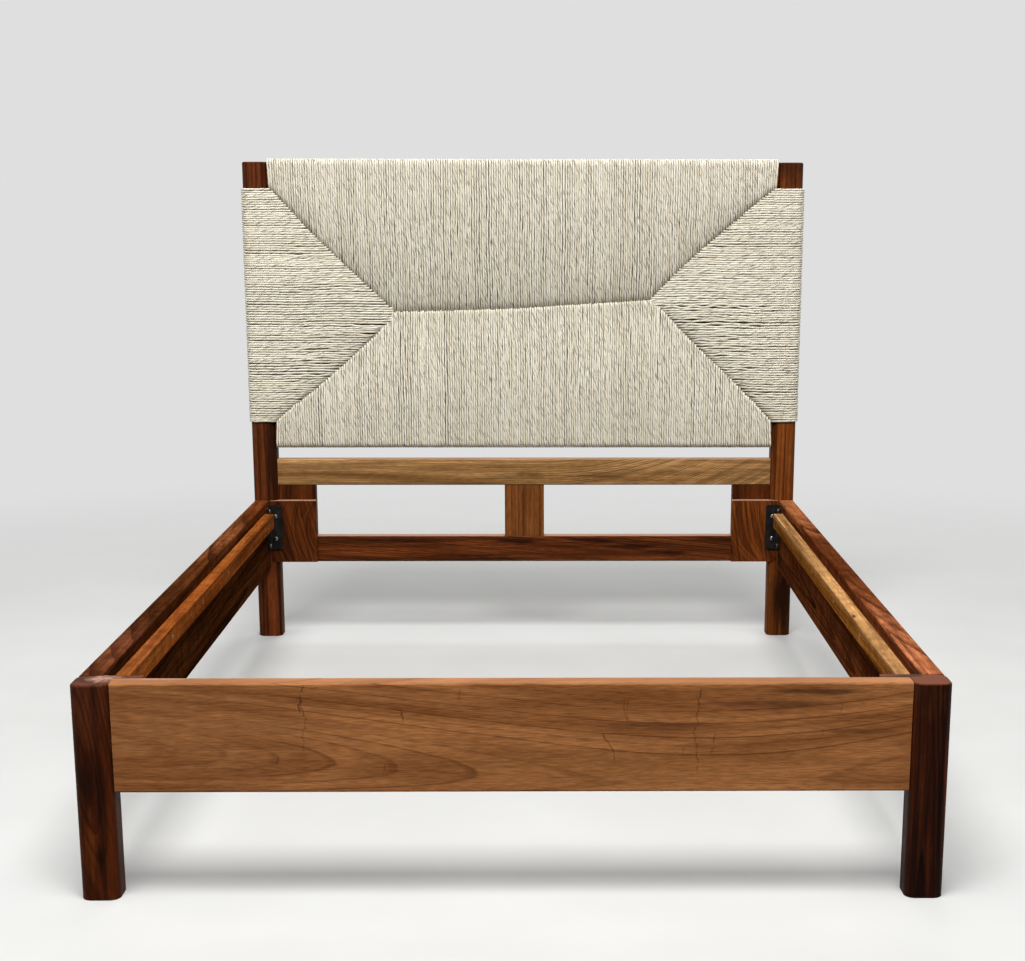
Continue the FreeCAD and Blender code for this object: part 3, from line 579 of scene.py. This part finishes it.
def cord_fibre():
    """Twisted leaf cord: cream, with tan lengths and dark dashes along the lay, and painted shade in the
    crease and the slits between the plies.

    It has painted shade near an end that goes under another field.
    """
    tree = Tree("cord_fibre")
    chart = tree.chart("Cord")
    angle = tree.math("MULTIPLY", chart[0], 2 * math.pi)
    length = chart[1]
    sine = tree.math("SINE", angle)
    around = tree.join(tree.math("COSINE", angle), sine, length)
    dashes = tree.span(tree.noise(around, DASH_SCALE, 2.0), 0.58, 0.68)
    tan = tree.span(tree.noise(around, TAN_SCALE, 2.0), 0.42, 0.74)
    strands = tree.noise(around, TWINE_SCALE, 3.0)
    crease = tree.math("POWER", tree.math("ABSOLUTE", sine), CREASE_POWER)
    slits = tree.math("POWER", tree.math("ABSOLUTE", sine), SLIT_POWER)
    open_slits = tree.span(tree.noise(around, SLIT_SCALE, 1.0), 0.505, 0.62, 0.0, 0.9)
    own = tree.chance(tree.math("FLOOR", tree.math("DIVIDE", length, CORD_SPAN)))
    ends = tree.chart("Ends")
    tucked = tree.math("MULTIPLY", tree.span(ends[0], *TUCKED_SHADE, 0.0), ends[1])
    sunk = tree.math("MULTIPLY", tree.span(ends[0], *SUNK_SHADE, 0.0), ends[1])
    colour = tree.mix(tree.span(own, 0.0, 1.0, 0.0, 0.7), *CREAM_TONES)
    colour = tree.tint(colour, tan, 0.5, TAN_TONE)
    colour = tree.tint(colour, dashes, 0.6, DASH_TONE)
    # Painted shade in the crease between the plies, near a tucked end and in the open slits.
    colour = tree.tint(colour, crease, 0.12, CREASE_SHADE_TONE)
    colour = tree.mix(tree.math("ADD", tucked, sunk), colour, TUCKED_SHADE_TONE)
    colour = tree.tint(colour, slits, open_slits, SLIT_SHADE_TONE)
    colour = tree.vary(colour, strands, 0.25, 0.75, 0.88, 1.06)
    tree.shade(colour, tree.span(strands, 0.2, 0.8, *CORD_ROUGHNESS), CORD_GLOSS)
    tree.bump(strands, *CORD_BUMP)
    return tree.owner


def core_fibre():
    """The strands inside the panel, seen only in the gaps between cords, coloured dark as painted shade in
    those gaps.
    """
    tree = Tree("core_fibre")
    strands = tree.noise(tree.place(), CORE_SCALE, 3.0)
    colour = tree.mix(tree.span(strands, 0.3, 0.7), *CORE_SHADE_TONES)
    tree.shade(colour, tree.span(strands, 0.2, 0.8, *CORE_ROUGHNESS))
    tree.bump(strands, *CORE_BUMP)
    return tree.owner


BLACK_STEEL = black_steel()
for bracket in ("head_bracket_left", "head_bracket_right", "foot_bracket_left", "foot_bracket_right"):
    dress(bracket, BLACK_STEEL)
BOLT_STEEL = bright_steel("bolt_plating", *BOLT_TONES)
SCREW_STEEL = bright_steel("screw_plating", *SCREW_TONES)
CORD_FIBRE = cord_fibre()
CORE_FIBRE = core_fibre()


def add_piece(name, mesh, material, replaced):
    """Puts a mesh in the scene as a piece that rides on the frame and stands for CAD nodes."""
    mesh.materials.append(material)
    piece = bpy.data.objects.new(name, mesh)
    bpy.context.collection.objects.link(piece)
    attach(piece, "root")
    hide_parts(*replaced)


# Cord, in metres. Two plies make the cord, and LAY is the length of one full turn of them.
CORD_RADIUS = 0.0031
CORD_PITCH = 0.0068
CORD_CLEAR = 0.0002
CORD_STEP = 0.006
LEAST_STEPS = 20
CORD_SIDES = 8
LAY = 0.050
LAY_RANGE = (0.85, 1.2)
PLY_RELIEF = 0.045
SIZE_SCATTER = 0.03
BAKE_MARGIN = 0.06

# Near the middle of its length a cord is wrapped tight and loses a share of its unevenness.
WRAP_REACH = 0.09
WRAP_HOLD = 1.3
WRAP_CALM = 0.7
WRAP_ANGLES = range(15, 91, 15)

# Waves along a cord: their number and spread, then size, longest and shortest. Sideways the size varies.
WAVE_COUNT = 4
WAVE_SPREAD = 0.5
SIDE_WAVES = (0.4, 0.06)
DEPTH_WAVES = (0.0005, 0.2, 0.04)
SIZE_WAVES = (0.05, 0.2, 0.03)

# A cord is held at its rail or post, and freer with its distance from it. Neighbours sway together.
FREE_REACH = 0.05
LOOSE_REACH = 0.10
LOOSE_LEAST = 0.35
SWAY = 0.0012
SWAY_ALONG = 21.0
SWAY_ACROSS = 9.0

# Ends of the cord. Over a neighbouring field it turns in, under one it dips.
LAP = 0.0015
TURN_IN = 0.004
TURN_ANGLES = (90, 60, 30)
TURN_DROP = 1.8
OVER_RISE = 0.004
OVER_RUN = 0.018
DIP_RUN = 0.030
DIP_SHARE = 0.9
DIP_POWER = 1.5
DIP = 0.0065
TUCK = 0.007
TUCK_DROP = 0.001
SEAM_DEPTH = 0.007
LEAST_DEPTH = 0.001
LEAST_RUN = 0.002
END_SCATTER = 0.001

# The fields are full, as if stuffed: this power makes them fall away more and more towards a border.
FULLNESS = 1.9
SLOPE_SHARES = np.linspace(1.0, 0.0, 13)

# Spacing of the cords: unevenness, share of wider gaps and their extra. Then how far each cord wanders.
FIELD_MARGIN = 0.001
ACROSS_SPREAD = (0.05, 0.02, 0.2)
ACROSS_WANDER = 0.0005
SIDE_SPREAD = (0.10, 0.10, 0.25)
SIDE_WANDER = 0.0006
LOW_SIDE_WANDER = 0.0014
TIP_EASE = 0.03
LEAN_REACH = 0.06
CORNER_LEAN = 0.06

# Panel: the tips of the side fields (x, upper z, lower z), the seam (x, z) and the bow of each hip.
LEFT_TIP = (-0.391, 0.984, 0.949)
RIGHT_TIP = (0.383, 1.018, 0.998)
SEAM = [
    (-0.3895, 0.9678), (-0.2476, 0.9723), (-0.1589, 0.9738), (0.0185, 0.9812), (0.2255, 0.9944),
    (0.3437, 1.0018), (0.3815, 1.0033),
]
HIP_BOW = {"upper_left": -0.012, "lower_left": -0.014, "upper_right": 0.010, "lower_right": -0.003}
HIP_POINTS = 24
WEAVE_RAIL_ROUND = 0.010
POST_ROUND = 0.020

# The four edges that the cord goes round: inner face, outer face, half depth and corner radius, as distances
# outward from the middle of the world, with sign -1 for the lower and the left one.
TOP_LOW, TOP_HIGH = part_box("head_top_rail")
BASE_LOW, BASE_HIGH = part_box("head_weave_rail")
LEFT_LOW, LEFT_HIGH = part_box("head_post_left")
RIGHT_LOW, RIGHT_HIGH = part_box("head_post_right")
PANEL_Y = (TOP_LOW.y + TOP_HIGH.y) / 2
RAIL_HALF = (TOP_HIGH.y - TOP_LOW.y) / 2
POST_HALF = (LEFT_HIGH.y - LEFT_LOW.y) / 2
EDGES = {
    "top": (TOP_LOW.z, TOP_HIGH.z, RAIL_HALF, WEAVE_RAIL_ROUND),
    "bottom": (-BASE_HIGH.z, -BASE_LOW.z, RAIL_HALF, WEAVE_RAIL_ROUND),
    "left": (-LEFT_HIGH.x, -LEFT_LOW.x, POST_HALF, POST_ROUND),
    "right": (RIGHT_LOW.x, RIGHT_HIGH.x, POST_HALF, POST_ROUND),
}
SIGNS = {"top": 1, "bottom": -1, "left": -1, "right": 1}


def hip(corner, tip, bow):
    """Points of the line between two fields, from a corner of the panel to a tip, bowed up or down."""
    share = np.linspace(0.0, 1.0, HIP_POINTS)
    line = np.outer(1 - share, corner) + np.outer(share, tip)
    line[:, 1] += 4 * bow * share * (1 - share)
    return line


UPPER_LEFT = hip((LEFT_HIGH.x, TOP_LOW.z), LEFT_TIP[:2], HIP_BOW["upper_left"])
LOWER_LEFT = hip((LEFT_HIGH.x, BASE_HIGH.z), (LEFT_TIP[0], LEFT_TIP[2]), HIP_BOW["lower_left"])
UPPER_RIGHT = hip((RIGHT_LOW.x, TOP_LOW.z), RIGHT_TIP[:2], HIP_BOW["upper_right"])
LOWER_RIGHT = hip((RIGHT_LOW.x, BASE_HIGH.z), (RIGHT_TIP[0], RIGHT_TIP[2]), HIP_BOW["lower_right"])
BORDERS = {
    "top": np.vstack([UPPER_LEFT, SEAM, UPPER_RIGHT[::-1]]),
    "bottom": np.vstack([LOWER_LEFT, SEAM, LOWER_RIGHT[::-1]]),
    "left": np.vstack([LOWER_LEFT, UPPER_LEFT[::-1]]),
    "right": np.vstack([LOWER_RIGHT, UPPER_RIGHT[::-1]]),
}


def border_depth(x):
    """How far the cord's middle lies in front of the panel's middle at a border, by how far out it is."""
    shares = np.interp(x, [LEFT_HIGH.x, LEFT_TIP[0], RIGHT_TIP[0], RIGHT_LOW.x], [1.0, 0.0, 0.0, 1.0])
    return SEAM_DEPTH + shares * (RAIL_HALF + CORD_RADIUS + CORD_CLEAR - SEAM_DEPTH)


def half_loop(end, depth, dip, edge):
    """Outward and depth coordinates of a cord's front half, from its end at a border to the outer face.

    dip is how deep the end goes under the next field, and 0 where it laps over that field.
    """
    inner, outer, half, corner = edge
    lift = half + CORD_RADIUS + CORD_CLEAR
    run = max(inner - end, LEAST_RUN)
    outward = inner - run * SLOPE_SHARES
    level = lift - (lift - depth) * SLOPE_SHARES ** FULLNESS
    past = outward - end
    if dip == 0:
        level = level + OVER_RISE * np.exp(-past / OVER_RUN) * np.clip(run / DIP_RUN, 0.0, 1.0)
        turns = np.radians(TURN_ANGLES)
        tip_out = end - LAP - TURN_IN * np.concatenate([[1.0], np.sin(turns)])
        tip_level = level[0] - TURN_IN * np.concatenate([[TURN_DROP], 1 - np.cos(turns)])
    else:
        dip_run = min(DIP_RUN, DIP_SHARE * run)
        level = level - dip * np.clip(1 - past / dip_run, 0.0, 1.0) ** DIP_POWER
        tip_out = np.array([end - TUCK])
        tip_level = np.array([level[0] - TUCK_DROP])
    level = np.maximum(np.concatenate([tip_level, level]), LEAST_DEPTH)
    points = list(zip(np.concatenate([tip_out, outward]), level))
    points.append((outer - corner, lift))
    reach = corner + CORD_RADIUS + CORD_CLEAR
    for angle in WRAP_ANGLES:
        t = math.radians(angle)
        points.append((outer - corner + reach * math.sin(t), half - corner + reach * math.cos(t)))
    return np.array(points)


def waves(rng, length, size, longest, shortest):
    """A smooth random offset along a cord."""
    total = np.zeros_like(length)
    for wavelength in np.geomspace(longest, shortest, WAVE_COUNT):
        total += np.sin(2 * math.pi * (length / wavelength + rng.random())) * rng.normal(0.0, WAVE_SPREAD)
    return total * size


def cord_path(rng, name, place, end, dip, wander, lean=0.0):
    """Points of one cord from its front end, round its rail or post, to its back end, and their lengths."""
    edge = EDGES[name]
    sign = SIGNS[name]
    on_rail = name in ("top", "bottom")
    depth = border_depth(place if on_rail else sign * end)
    front = half_loop(end + rng.normal(0.0, END_SCATTER), depth, dip, edge)
    corners = np.vstack([front, front[::-1] * (1, -1)])
    spacing = np.linalg.norm(np.diff(corners, axis=0), axis=1)
    stops = np.concatenate([[0.0], np.cumsum(spacing)])
    count = max(int(round(stops[-1] / CORD_STEP)), LEAST_STEPS)
    length = np.linspace(0.0, stops[-1], count + 1)
    outward = np.interp(length, stops, corners[:, 0])
    depths = np.interp(length, stops, corners[:, 1])
    free = np.clip((edge[0] - outward) / FREE_REACH, 0.0, 1.0)
    loose = LOOSE_LEAST + (1 - LOOSE_LEAST) * np.clip((edge[0] - outward) / LOOSE_REACH, 0.0, 1.0)
    sideways = place + loose * waves(rng, length, wander, *SIDE_WAVES) + lean * (edge[1] - outward)
    sideways = sideways + free * SWAY * np.sin(SWAY_ALONG * outward + SWAY_ACROSS * place)
    depths = depths + free * np.sign(depths) * waves(rng, length, *DEPTH_WAVES)
    rows = PANEL_Y - depths
    columns = [sideways, rows, sign * outward] if on_rail else [sign * outward, rows, sideways]
    return np.stack(columns, axis=1), length


def tube(rng, points, length, sideways):
    """Rings of corners round a cord.

    The section has two plies, turns with the lay and is rounder where it is wrapped.
    """
    tangent = np.gradient(points, axis=0)
    tangent /= np.linalg.norm(tangent, axis=1, keepdims=True)
    normal = np.cross(sideways, tangent)
    normal /= np.linalg.norm(normal, axis=1, keepdims=True)
    second = np.cross(tangent, normal)
    spots = 2 * math.pi * np.arange(CORD_SIDES) / CORD_SIDES
    wrapped = np.clip(WRAP_HOLD - np.abs(length - length[-1] / 2) / WRAP_REACH, 0.0, 1.0)
    uneven = 1 - WRAP_CALM * wrapped
    section = 1 + (PLY_RELIEF * uneven)[:, None] * np.cos(2 * spots)[None, :]
    lay = LAY * rng.uniform(*LAY_RANGE)
    twist = -2 * math.pi * (length / lay + rng.random())
    angles = spots[None, :] + twist[:, None]
    size = CORD_RADIUS * (1 + rng.normal(0.0, SIZE_SCATTER) + uneven * waves(rng, length, *SIZE_WAVES))
    reach = size[:, None] * section
    return (points[:, None, :] + (reach * np.cos(angles))[..., None] * normal[:, None, :]
            + (reach * np.sin(angles))[..., None] * second[:, None, :])


def cord_mesh(name, cords):
    """One mesh of closed tubes, each with a chart round and along it, one of its ends and one for baking.

    cords are (rings, lengths, tucked) triples. tucked is 1 for a cord whose ends go under a field, else 0.
    """
    corners = []
    faces = []
    loops = []
    charts = []
    ends = []
    bakes = []
    start = 0
    sides = np.arange(CORD_SIDES)
    for index, (rings, length, tucked) in enumerate(cords):
        count = len(rings)
        corners.append(rings.reshape(-1, 3))
        ring_from = np.repeat(np.arange(count - 1), CORD_SIDES)
        side_from = np.tile(sides, count - 1)
        side_to = (side_from + 1) % CORD_SIDES
        quad = np.stack([
            ring_from * CORD_SIDES + side_from, ring_from * CORD_SIDES + side_to,
            (ring_from + 1) * CORD_SIDES + side_to, (ring_from + 1) * CORD_SIDES + side_from,
        ], axis=1)
        caps = np.concatenate([sides[::-1], (count - 1) * CORD_SIDES + sides])
        loops += [start + quad.reshape(-1), start + caps]
        faces += [np.full(len(quad), 4), np.full(2, CORD_SIDES)]
        turn = np.stack([side_from, side_from + 1, side_from + 1, side_from], axis=1).reshape(-1) / CORD_SIDES
        ring = np.stack([ring_from, ring_from, ring_from + 1, ring_from + 1], axis=1).reshape(-1)
        cap_turn = np.concatenate([sides[::-1], sides]) / CORD_SIDES
        cap_ring = np.repeat([0, count - 1], CORD_SIDES)
        turns = np.concatenate([turn, cap_turn])
        lengths = length[np.concatenate([ring, cap_ring])]
        charts.append(np.stack([turns, index * CORD_SPAN + lengths], axis=1))
        from_end = np.minimum(lengths, length[-1] - lengths)
        ends.append(np.stack([from_end, np.full(len(lengths), tucked)], axis=1))
        bake_turns = index + BAKE_MARGIN + (1 - 2 * BAKE_MARGIN) * turns
        bakes.append(np.stack([bake_turns / len(cords), lengths / length[-1]], axis=1))
        start += count * CORD_SIDES
    corners = np.concatenate(corners)
    loops = np.concatenate(loops)
    sizes = np.concatenate(faces)
    mesh = bpy.data.meshes.new(name)
    mesh.vertices.add(len(corners))
    mesh.vertices.foreach_set("co", corners.reshape(-1).astype(np.float32))
    mesh.loops.add(len(loops))
    mesh.loops.foreach_set("vertex_index", loops.astype(np.int32))
    mesh.polygons.add(len(sizes))
    mesh.polygons.foreach_set("loop_start", np.concatenate([[0], np.cumsum(sizes)[:-1]]).astype(np.int32))
    mesh.polygons.foreach_set("use_smooth", np.ones(len(sizes), dtype=bool))
    mesh.update(calc_edges=True)
    for chart_name, values in (("Cord", charts), ("Ends", ends), ("OFBake", bakes)):
        chart = mesh.uv_layers.new(name=chart_name)
        chart.data.foreach_set("uv", np.concatenate(values).reshape(-1).astype(np.float32))
    mesh.validate()
    return mesh


def spread(rng, low, high, unevenness, gap_share, gap):
    """Places of the cords between two edges, close together, with a wider gap here and there."""
    low += FIELD_MARGIN
    high -= FIELD_MARGIN
    count = int(round((high - low) / CORD_PITCH))
    steps = 1 + rng.normal(0.0, unevenness, count)
    steps += (rng.random(count) < gap_share) * gap
    places = np.cumsum(steps) - steps / 2
    return low + places * (high - low) / steps.sum()


def wind_across(name, seed):
    """The cords round the top or the bottom rail, in three pieces side by side."""
    rng = np.random.default_rng(seed)
    border = BORDERS[name]
    parts = {"left": [], "middle": [], "right": []}
    middle_reach = (RIGHT_LOW.x - LEFT_HIGH.x) / 6
    dip = DIP if name == "top" else 0.0
    for x in spread(rng, LEFT_HIGH.x, RIGHT_LOW.x, *ACROSS_SPREAD):
        end = SIGNS[name] * np.interp(x, border[:, 0], border[:, 1])
        room = min(x - LEFT_HIGH.x, RIGHT_LOW.x - x)
        lean = CORNER_LEAN * max(1 - room / LEAN_REACH, 0.0) * (1 if x < 0 else -1)
        points, length = cord_path(rng, name, x, end, dip, ACROSS_WANDER, lean)
        rings = tube(rng, points, length, (1.0, 0.0, 0.0))
        part = "left" if x < -middle_reach else "right" if x > middle_reach else "middle"
        parts[part].append((rings, length, dip / DIP))
    for part, cords in parts.items():
        piece_name = f"weave_{name}_cords_{part}"
        add_piece(piece_name, cord_mesh(piece_name, cords), CORD_FIBRE, [f"weave_{name}"])


def wind_side(name, seed):
    """The cords round the left or the right post."""
    rng = np.random.default_rng(seed)
    border = BORDERS[name]
    tip = RIGHT_TIP if name == "right" else LEFT_TIP
    cords = []
    for z in spread(rng, BASE_HIGH.z, TOP_LOW.z, *SIDE_SPREAD):
        end = SIGNS[name] * np.interp(z, border[:, 1], border[:, 0])
        below = tip[2] - z
        dip = DIP * min(below / TIP_EASE, 1.0) if below > 0 else 0.0
        wander = LOW_SIDE_WANDER if below > 0 else SIDE_WANDER
        points, length = cord_path(rng, name, z, end, dip, wander)
        cords.append((tube(rng, points, length, (0.0, 0.0, 1.0)), length, dip / DIP))
    piece_name = f"weave_{name}_cords"
    add_piece(piece_name, cord_mesh(piece_name, cords), CORD_FIBRE, [f"weave_{name}"])


wind_across("top", 11)
wind_across("bottom", 12)
wind_side("left", 13)
wind_side("right", 14)

CORE_INSET = 0.009
CORE_LEAST = 0.0004
CORE_CLEAR = 0.005
CORE_WELD = 0.00005


def core():
    """A closed body under the cords, where the hidden strands are."""
    work = bmesh.new()
    for name, border in BORDERS.items():
        inner = SIGNS[name] * EDGES[name][0]
        for face in (1, -1):
            rows = []
            for x, z in border:
                depth = max(border_depth(x) - CORE_INSET, CORE_LEAST)
                foot_x, foot_z = (x, inner) if name in ("top", "bottom") else (inner, z)
                near = work.verts.new((x, PANEL_Y - face * depth, z))
                far = work.verts.new((foot_x, PANEL_Y - face * (RAIL_HALF - CORE_CLEAR), foot_z))
                back = work.verts.new((foot_x, PANEL_Y, foot_z))
                rows.append((near, far, back))
            for first, second in zip(rows, rows[1:]):
                for level in (0, 1):
                    ring = [first[level], first[level + 1], second[level + 1], second[level]]
                    work.faces.new(ring)
    bmesh.ops.remove_doubles(work, verts=work.verts, dist=CORE_WELD)
    bmesh.ops.dissolve_degenerate(work, edges=work.edges, dist=CORE_WELD)
    bmesh.ops.recalc_face_normals(work, faces=work.faces)
    mesh = bpy.data.meshes.new("weave_core")
    work.to_mesh(mesh)
    work.free()
    return mesh


add_piece("weave_core", core(), CORE_FIBRE,
          ["weave_top", "weave_bottom", "weave_left", "weave_right"])

# Fasteners. Shares are of the head's or the shank's radius, or of the head's height. Depths are in metres.
FASTENER_SIDES = 36
SPOTS = 2 * math.pi * np.arange(FASTENER_SIDES) / FASTENER_SIDES
HEX_SHAPE = 1 / np.cos((SPOTS + math.pi / 6) % (math.pi / 3) - math.pi / 6)
SAME_POINT = 0.000001
END_DEPTH = 0.001
BOLT_END = 0.8
BOLT_UNDERSIDE = 0.92
BOLT_EDGE = 0.1
BOLT_RIM = 0.3
CROWN_ANGLES = range(0, 81, 10)
SCREW_POINT = 0.3
SCREW_TAPER = 0.006
SCREW_FACE = 0.95
SCREW_EDGE = 0.0003
SOCKET = 0.45
SOCKET_MOUTH = 1.08
SOCKET_FLOOR = 0.96
SOCKET_DEPTH = 0.0022
SOCKET_PIT = 0.2
SOCKET_PIT_DEPTH = 0.0027
NEAR_HEAD = 0.98
NEAR_SHANK = 1.02
HEAD_LEAST = 0.0005
SHARP_ANGLE = math.radians(35)


def solids(node):
    """The points of each separate solid of a CAD node."""
    work = bmesh.new()
    work.from_mesh(NODES[node].data)
    bmesh.ops.remove_doubles(work, verts=work.verts, dist=SAME_POINT)
    grouped = set()
    groups = []
    for first in work.verts:
        if first in grouped:
            continue
        grouped.add(first)
        group = [first]
        for vert in group:
            for edge in vert.link_edges:
                other = edge.other_vert(vert)
                if other not in grouped:
                    grouped.add(other)
                    group.append(other)
        groups.append(np.array([tuple(vert.co) for vert in group]))
    work.free()
    return groups


def bolt_sections(head, rise, shank, total):
    """Heights and radii of a domed bolt, from its inner end to its crown."""
    under = total - rise
    rim = under + BOLT_RIM * rise
    sections = [(0.0, BOLT_END * shank), (END_DEPTH, shank), (under, shank)]
    sections += [(under, BOLT_UNDERSIDE * head), (under + BOLT_EDGE * rise, head)]
    for angle in CROWN_ANGLES:
        t = math.radians(angle)
        sections.append((rim + (total - rim) * math.sin(t), head * math.cos(t)))
    return sections


def screw_sections(head, rise, shank, total):
    """Heights and radii of a countersunk screw with a six-sided socket."""
    socket = SOCKET * head
    return [
        (0.0, SCREW_POINT * shank), (SCREW_TAPER, shank), (total - rise, shank), (total - SCREW_EDGE, head),
        (total, SCREW_FACE * head), (total, SOCKET_MOUTH * socket * HEX_SHAPE),
        (total - SCREW_EDGE, socket * HEX_SHAPE), (total - SOCKET_DEPTH, SOCKET_FLOOR * socket * HEX_SHAPE),
        (total - SOCKET_PIT_DEPTH, SOCKET_PIT * socket),
    ]


def turned(name, node, shape):
    """Round fasteners in the place of a node's solids, from the size and place of each solid."""
    work = bmesh.new()
    for points in solids(node):
        low = points.min(axis=0)
        high = points.max(axis=0)
        axis = int(np.argmax(high - low))
        middle = (low + high) / 2
        others = [(axis + 1) % 3, (axis + 2) % 3]
        radii = np.linalg.norm((points - middle)[:, others], axis=1)
        head = radii.max()
        widest = points[radii > NEAR_HEAD * head, axis]
        outward = 1 if widest.mean() > middle[axis] else -1
        total = (high - low)[axis]
        start = low[axis] if outward > 0 else high[axis]
        heights = (points[:, axis] - start) * outward
        shank = radii[heights < END_DEPTH].max()
        neck = heights[radii < NEAR_SHANK * shank]
        rise = total - neck[neck < total - HEAD_LEAST].max()
        rings = []
        for height, outline in shape(head, rise, shank, total):
            corners = np.zeros((FASTENER_SIDES, 3))
            corners[:, axis] = start + outward * height
            corners[:, others[0]] = middle[others[0]] + outline * np.cos(SPOTS)
            corners[:, others[1]] = middle[others[1]] + outline * np.sin(SPOTS)
            rings.append([work.verts.new(corner) for corner in corners])
        for lower, upper in zip(rings, rings[1:]):
            for side in range(FASTENER_SIDES):
                after = (side + 1) % FASTENER_SIDES
                work.faces.new([lower[side], lower[after], upper[after], upper[side]])
        work.faces.new(rings[0])
        work.faces.new(rings[-1])
    bmesh.ops.recalc_face_normals(work, faces=work.faces)
    for face in work.faces:
        face.smooth = len(face.verts) == 4
    mesh = bpy.data.meshes.new(name)
    work.to_mesh(mesh)
    work.free()
    mesh.set_sharp_from_angle(angle=SHARP_ANGLE)
    return mesh


BOLTS = turned("bracket_bolts_round", "bracket_bolts", bolt_sections)
add_piece("bracket_bolts_round", BOLTS, BOLT_STEEL, ["bracket_bolts"])
SCREWS = turned("ledger_screws_round", "ledger_screws", screw_sections)
add_piece("ledger_screws_round", SCREWS, SCREW_STEEL, ["ledger_screws"])

# Stage and light
FLOOR_RADIUS = 9.0
FLOOR_SIDES = 96
FLOOR_PLACE = (0.0, 0.0, -0.0005)
FLOOR_FADE = (1.5, 4.6)
FLOOR_SCALE = (3.0,) * 3
FLOOR_TONES = (tone(198, 198, 196), tone(201, 201, 199))
FLOOR_LIT = tone(112, 112, 110)
FLOOR_ROUGHNESS = 0.8
FLOOR_GLOSS = 0.2
SKY_TINT = (0.97, 0.98, 1.0, 1.0)
SKY_LEVELS = (0.05, 0.30)
SKY_RISE = (0.30, 0.75)
BACKGROUND_TINT = (1.0, 1.0, 1.0, 1.0)
BACKGROUND_LEVEL = 0.74

# Soft boxes: name, place, the point that each looks at, width and height, and power in watts.
LAMPS = (
    ("key", (-0.2, -2.3, 4.55), (0.0, 0.3, 0.6), (3.0, 2.2), 312.0),
    ("right", (3.8, -0.8, 2.2), (0.8, 0.0, 0.4), (2.6, 2.0), 32.0),
    ("left", (-3.8, -0.4, 2.2), (-0.8, 0.0, 0.4), (2.6, 2.0), 32.0),
    ("rear", (0.3, 4.2, 3.8), (0.0, 1.0, 0.7), (3.4, 2.4), 110.0),
)


def floor_material():
    """Pale floor with a faint mottle that fades into the background. It throws little light back."""
    tree = Tree("pale_floor")
    place = tree.place()
    mottle = tree.noise(place, FLOOR_SCALE, 3.0)
    colour = tree.mix(tree.span(mottle, 0.3, 0.7), *FLOOR_TONES)
    colour = tree.mix(tree.seen(), FLOOR_LIT, colour)
    fade = tree.span(tree.size(place), *FLOOR_FADE, 1.0, 0.0)
    tree.shade(colour, FLOOR_ROUGHNESS, FLOOR_GLOSS, alpha=fade)
    return tree.owner


bpy.ops.mesh.primitive_circle_add(
    vertices=FLOOR_SIDES, radius=FLOOR_RADIUS, fill_type="NGON", location=FLOOR_PLACE)
floor = bpy.context.object
floor.name = "floor"
floor.data.materials.append(floor_material())


def studio_world():
    """A room that is darker near the horizon than overhead.

    The camera sees a pale even background instead, and so do reflections.
    """
    tree = Tree("studio", "worlds")
    height = tree.split(tree.new("TexCoord", {}).outputs["Generated"])["Z"]
    low, high = SKY_RISE
    rise = tree.new("MapRange", {"Value": height, "From Min": low, "From Max": high}).outputs[0]
    dim, bright = SKY_LEVELS
    sky = tree.new("MapRange", {"Value": rise, "To Min": dim, "To Max": bright}).outputs[0]
    room = tree.put(tree.nodes["Background"], {"Color": SKY_TINT, "Strength": sky})
    backdrop = tree.new("Background", {"Color": BACKGROUND_TINT, "Strength": BACKGROUND_LEVEL})
    choose = tree.new("MixShader", {0: tree.seen(), 1: room.outputs[0], 2: backdrop.outputs[0]})
    tree.put(tree.nodes["World Output"], {"Surface": choose.outputs[0]})
    return tree.owner


def soft_light(name, place, target, size, power):
    """A soft box that looks at a point."""
    data = bpy.data.lights.new(name, "AREA")
    data.shape = "RECTANGLE"
    data.size = size[0]
    data.size_y = size[1]
    data.energy = power
    lamp = bpy.data.objects.new(name, data)
    lamp.location = place
    lamp.rotation_euler = (Vector(target) - Vector(place)).to_track_quat("-Z", "Y").to_euler()
    bpy.context.collection.objects.link(lamp)


def aim_camera():
    """The camera of the photograph, with the shift that its framing needs."""
    data = bpy.data.cameras.new("camera")
    data.sensor_width = SENSOR_WIDTH
    data.lens = FOCAL_PIXELS * SENSOR_WIDTH / IMAGE_WIDTH
    data.shift_x = (IMAGE_WIDTH / 2 - CENTRE_PIXEL[0]) / IMAGE_WIDTH
    data.shift_y = (CENTRE_PIXEL[1] - IMAGE_HEIGHT / 2) / IMAGE_WIDTH
    forward = Vector((
        math.sin(CAMERA_YAW) * math.cos(CAMERA_PITCH), math.cos(CAMERA_YAW) * math.cos(CAMERA_PITCH),
        -math.sin(CAMERA_PITCH),
    ))
    right = Vector((math.cos(CAMERA_YAW), -math.sin(CAMERA_YAW), 0.0))
    down = forward.cross(right)
    rolled_right = math.cos(CAMERA_ROLL) * right + math.sin(CAMERA_ROLL) * down
    rolled_down = -math.sin(CAMERA_ROLL) * right + math.cos(CAMERA_ROLL) * down
    turn = Matrix((rolled_right, -rolled_down, -forward)).transposed().to_4x4()
    camera = bpy.data.objects.new("camera", data)
    camera.matrix_world = Matrix.Translation(CAMERA_PLACE) @ turn
    bpy.context.collection.objects.link(camera)
    bpy.context.scene.camera = camera


bpy.context.scene.world = studio_world()
for soft_box in LAMPS:
    soft_light(*soft_box)
aim_camera()
bpy.context.scene.view_settings.view_transform = "Standard"
bpy.context.view_layer.update()
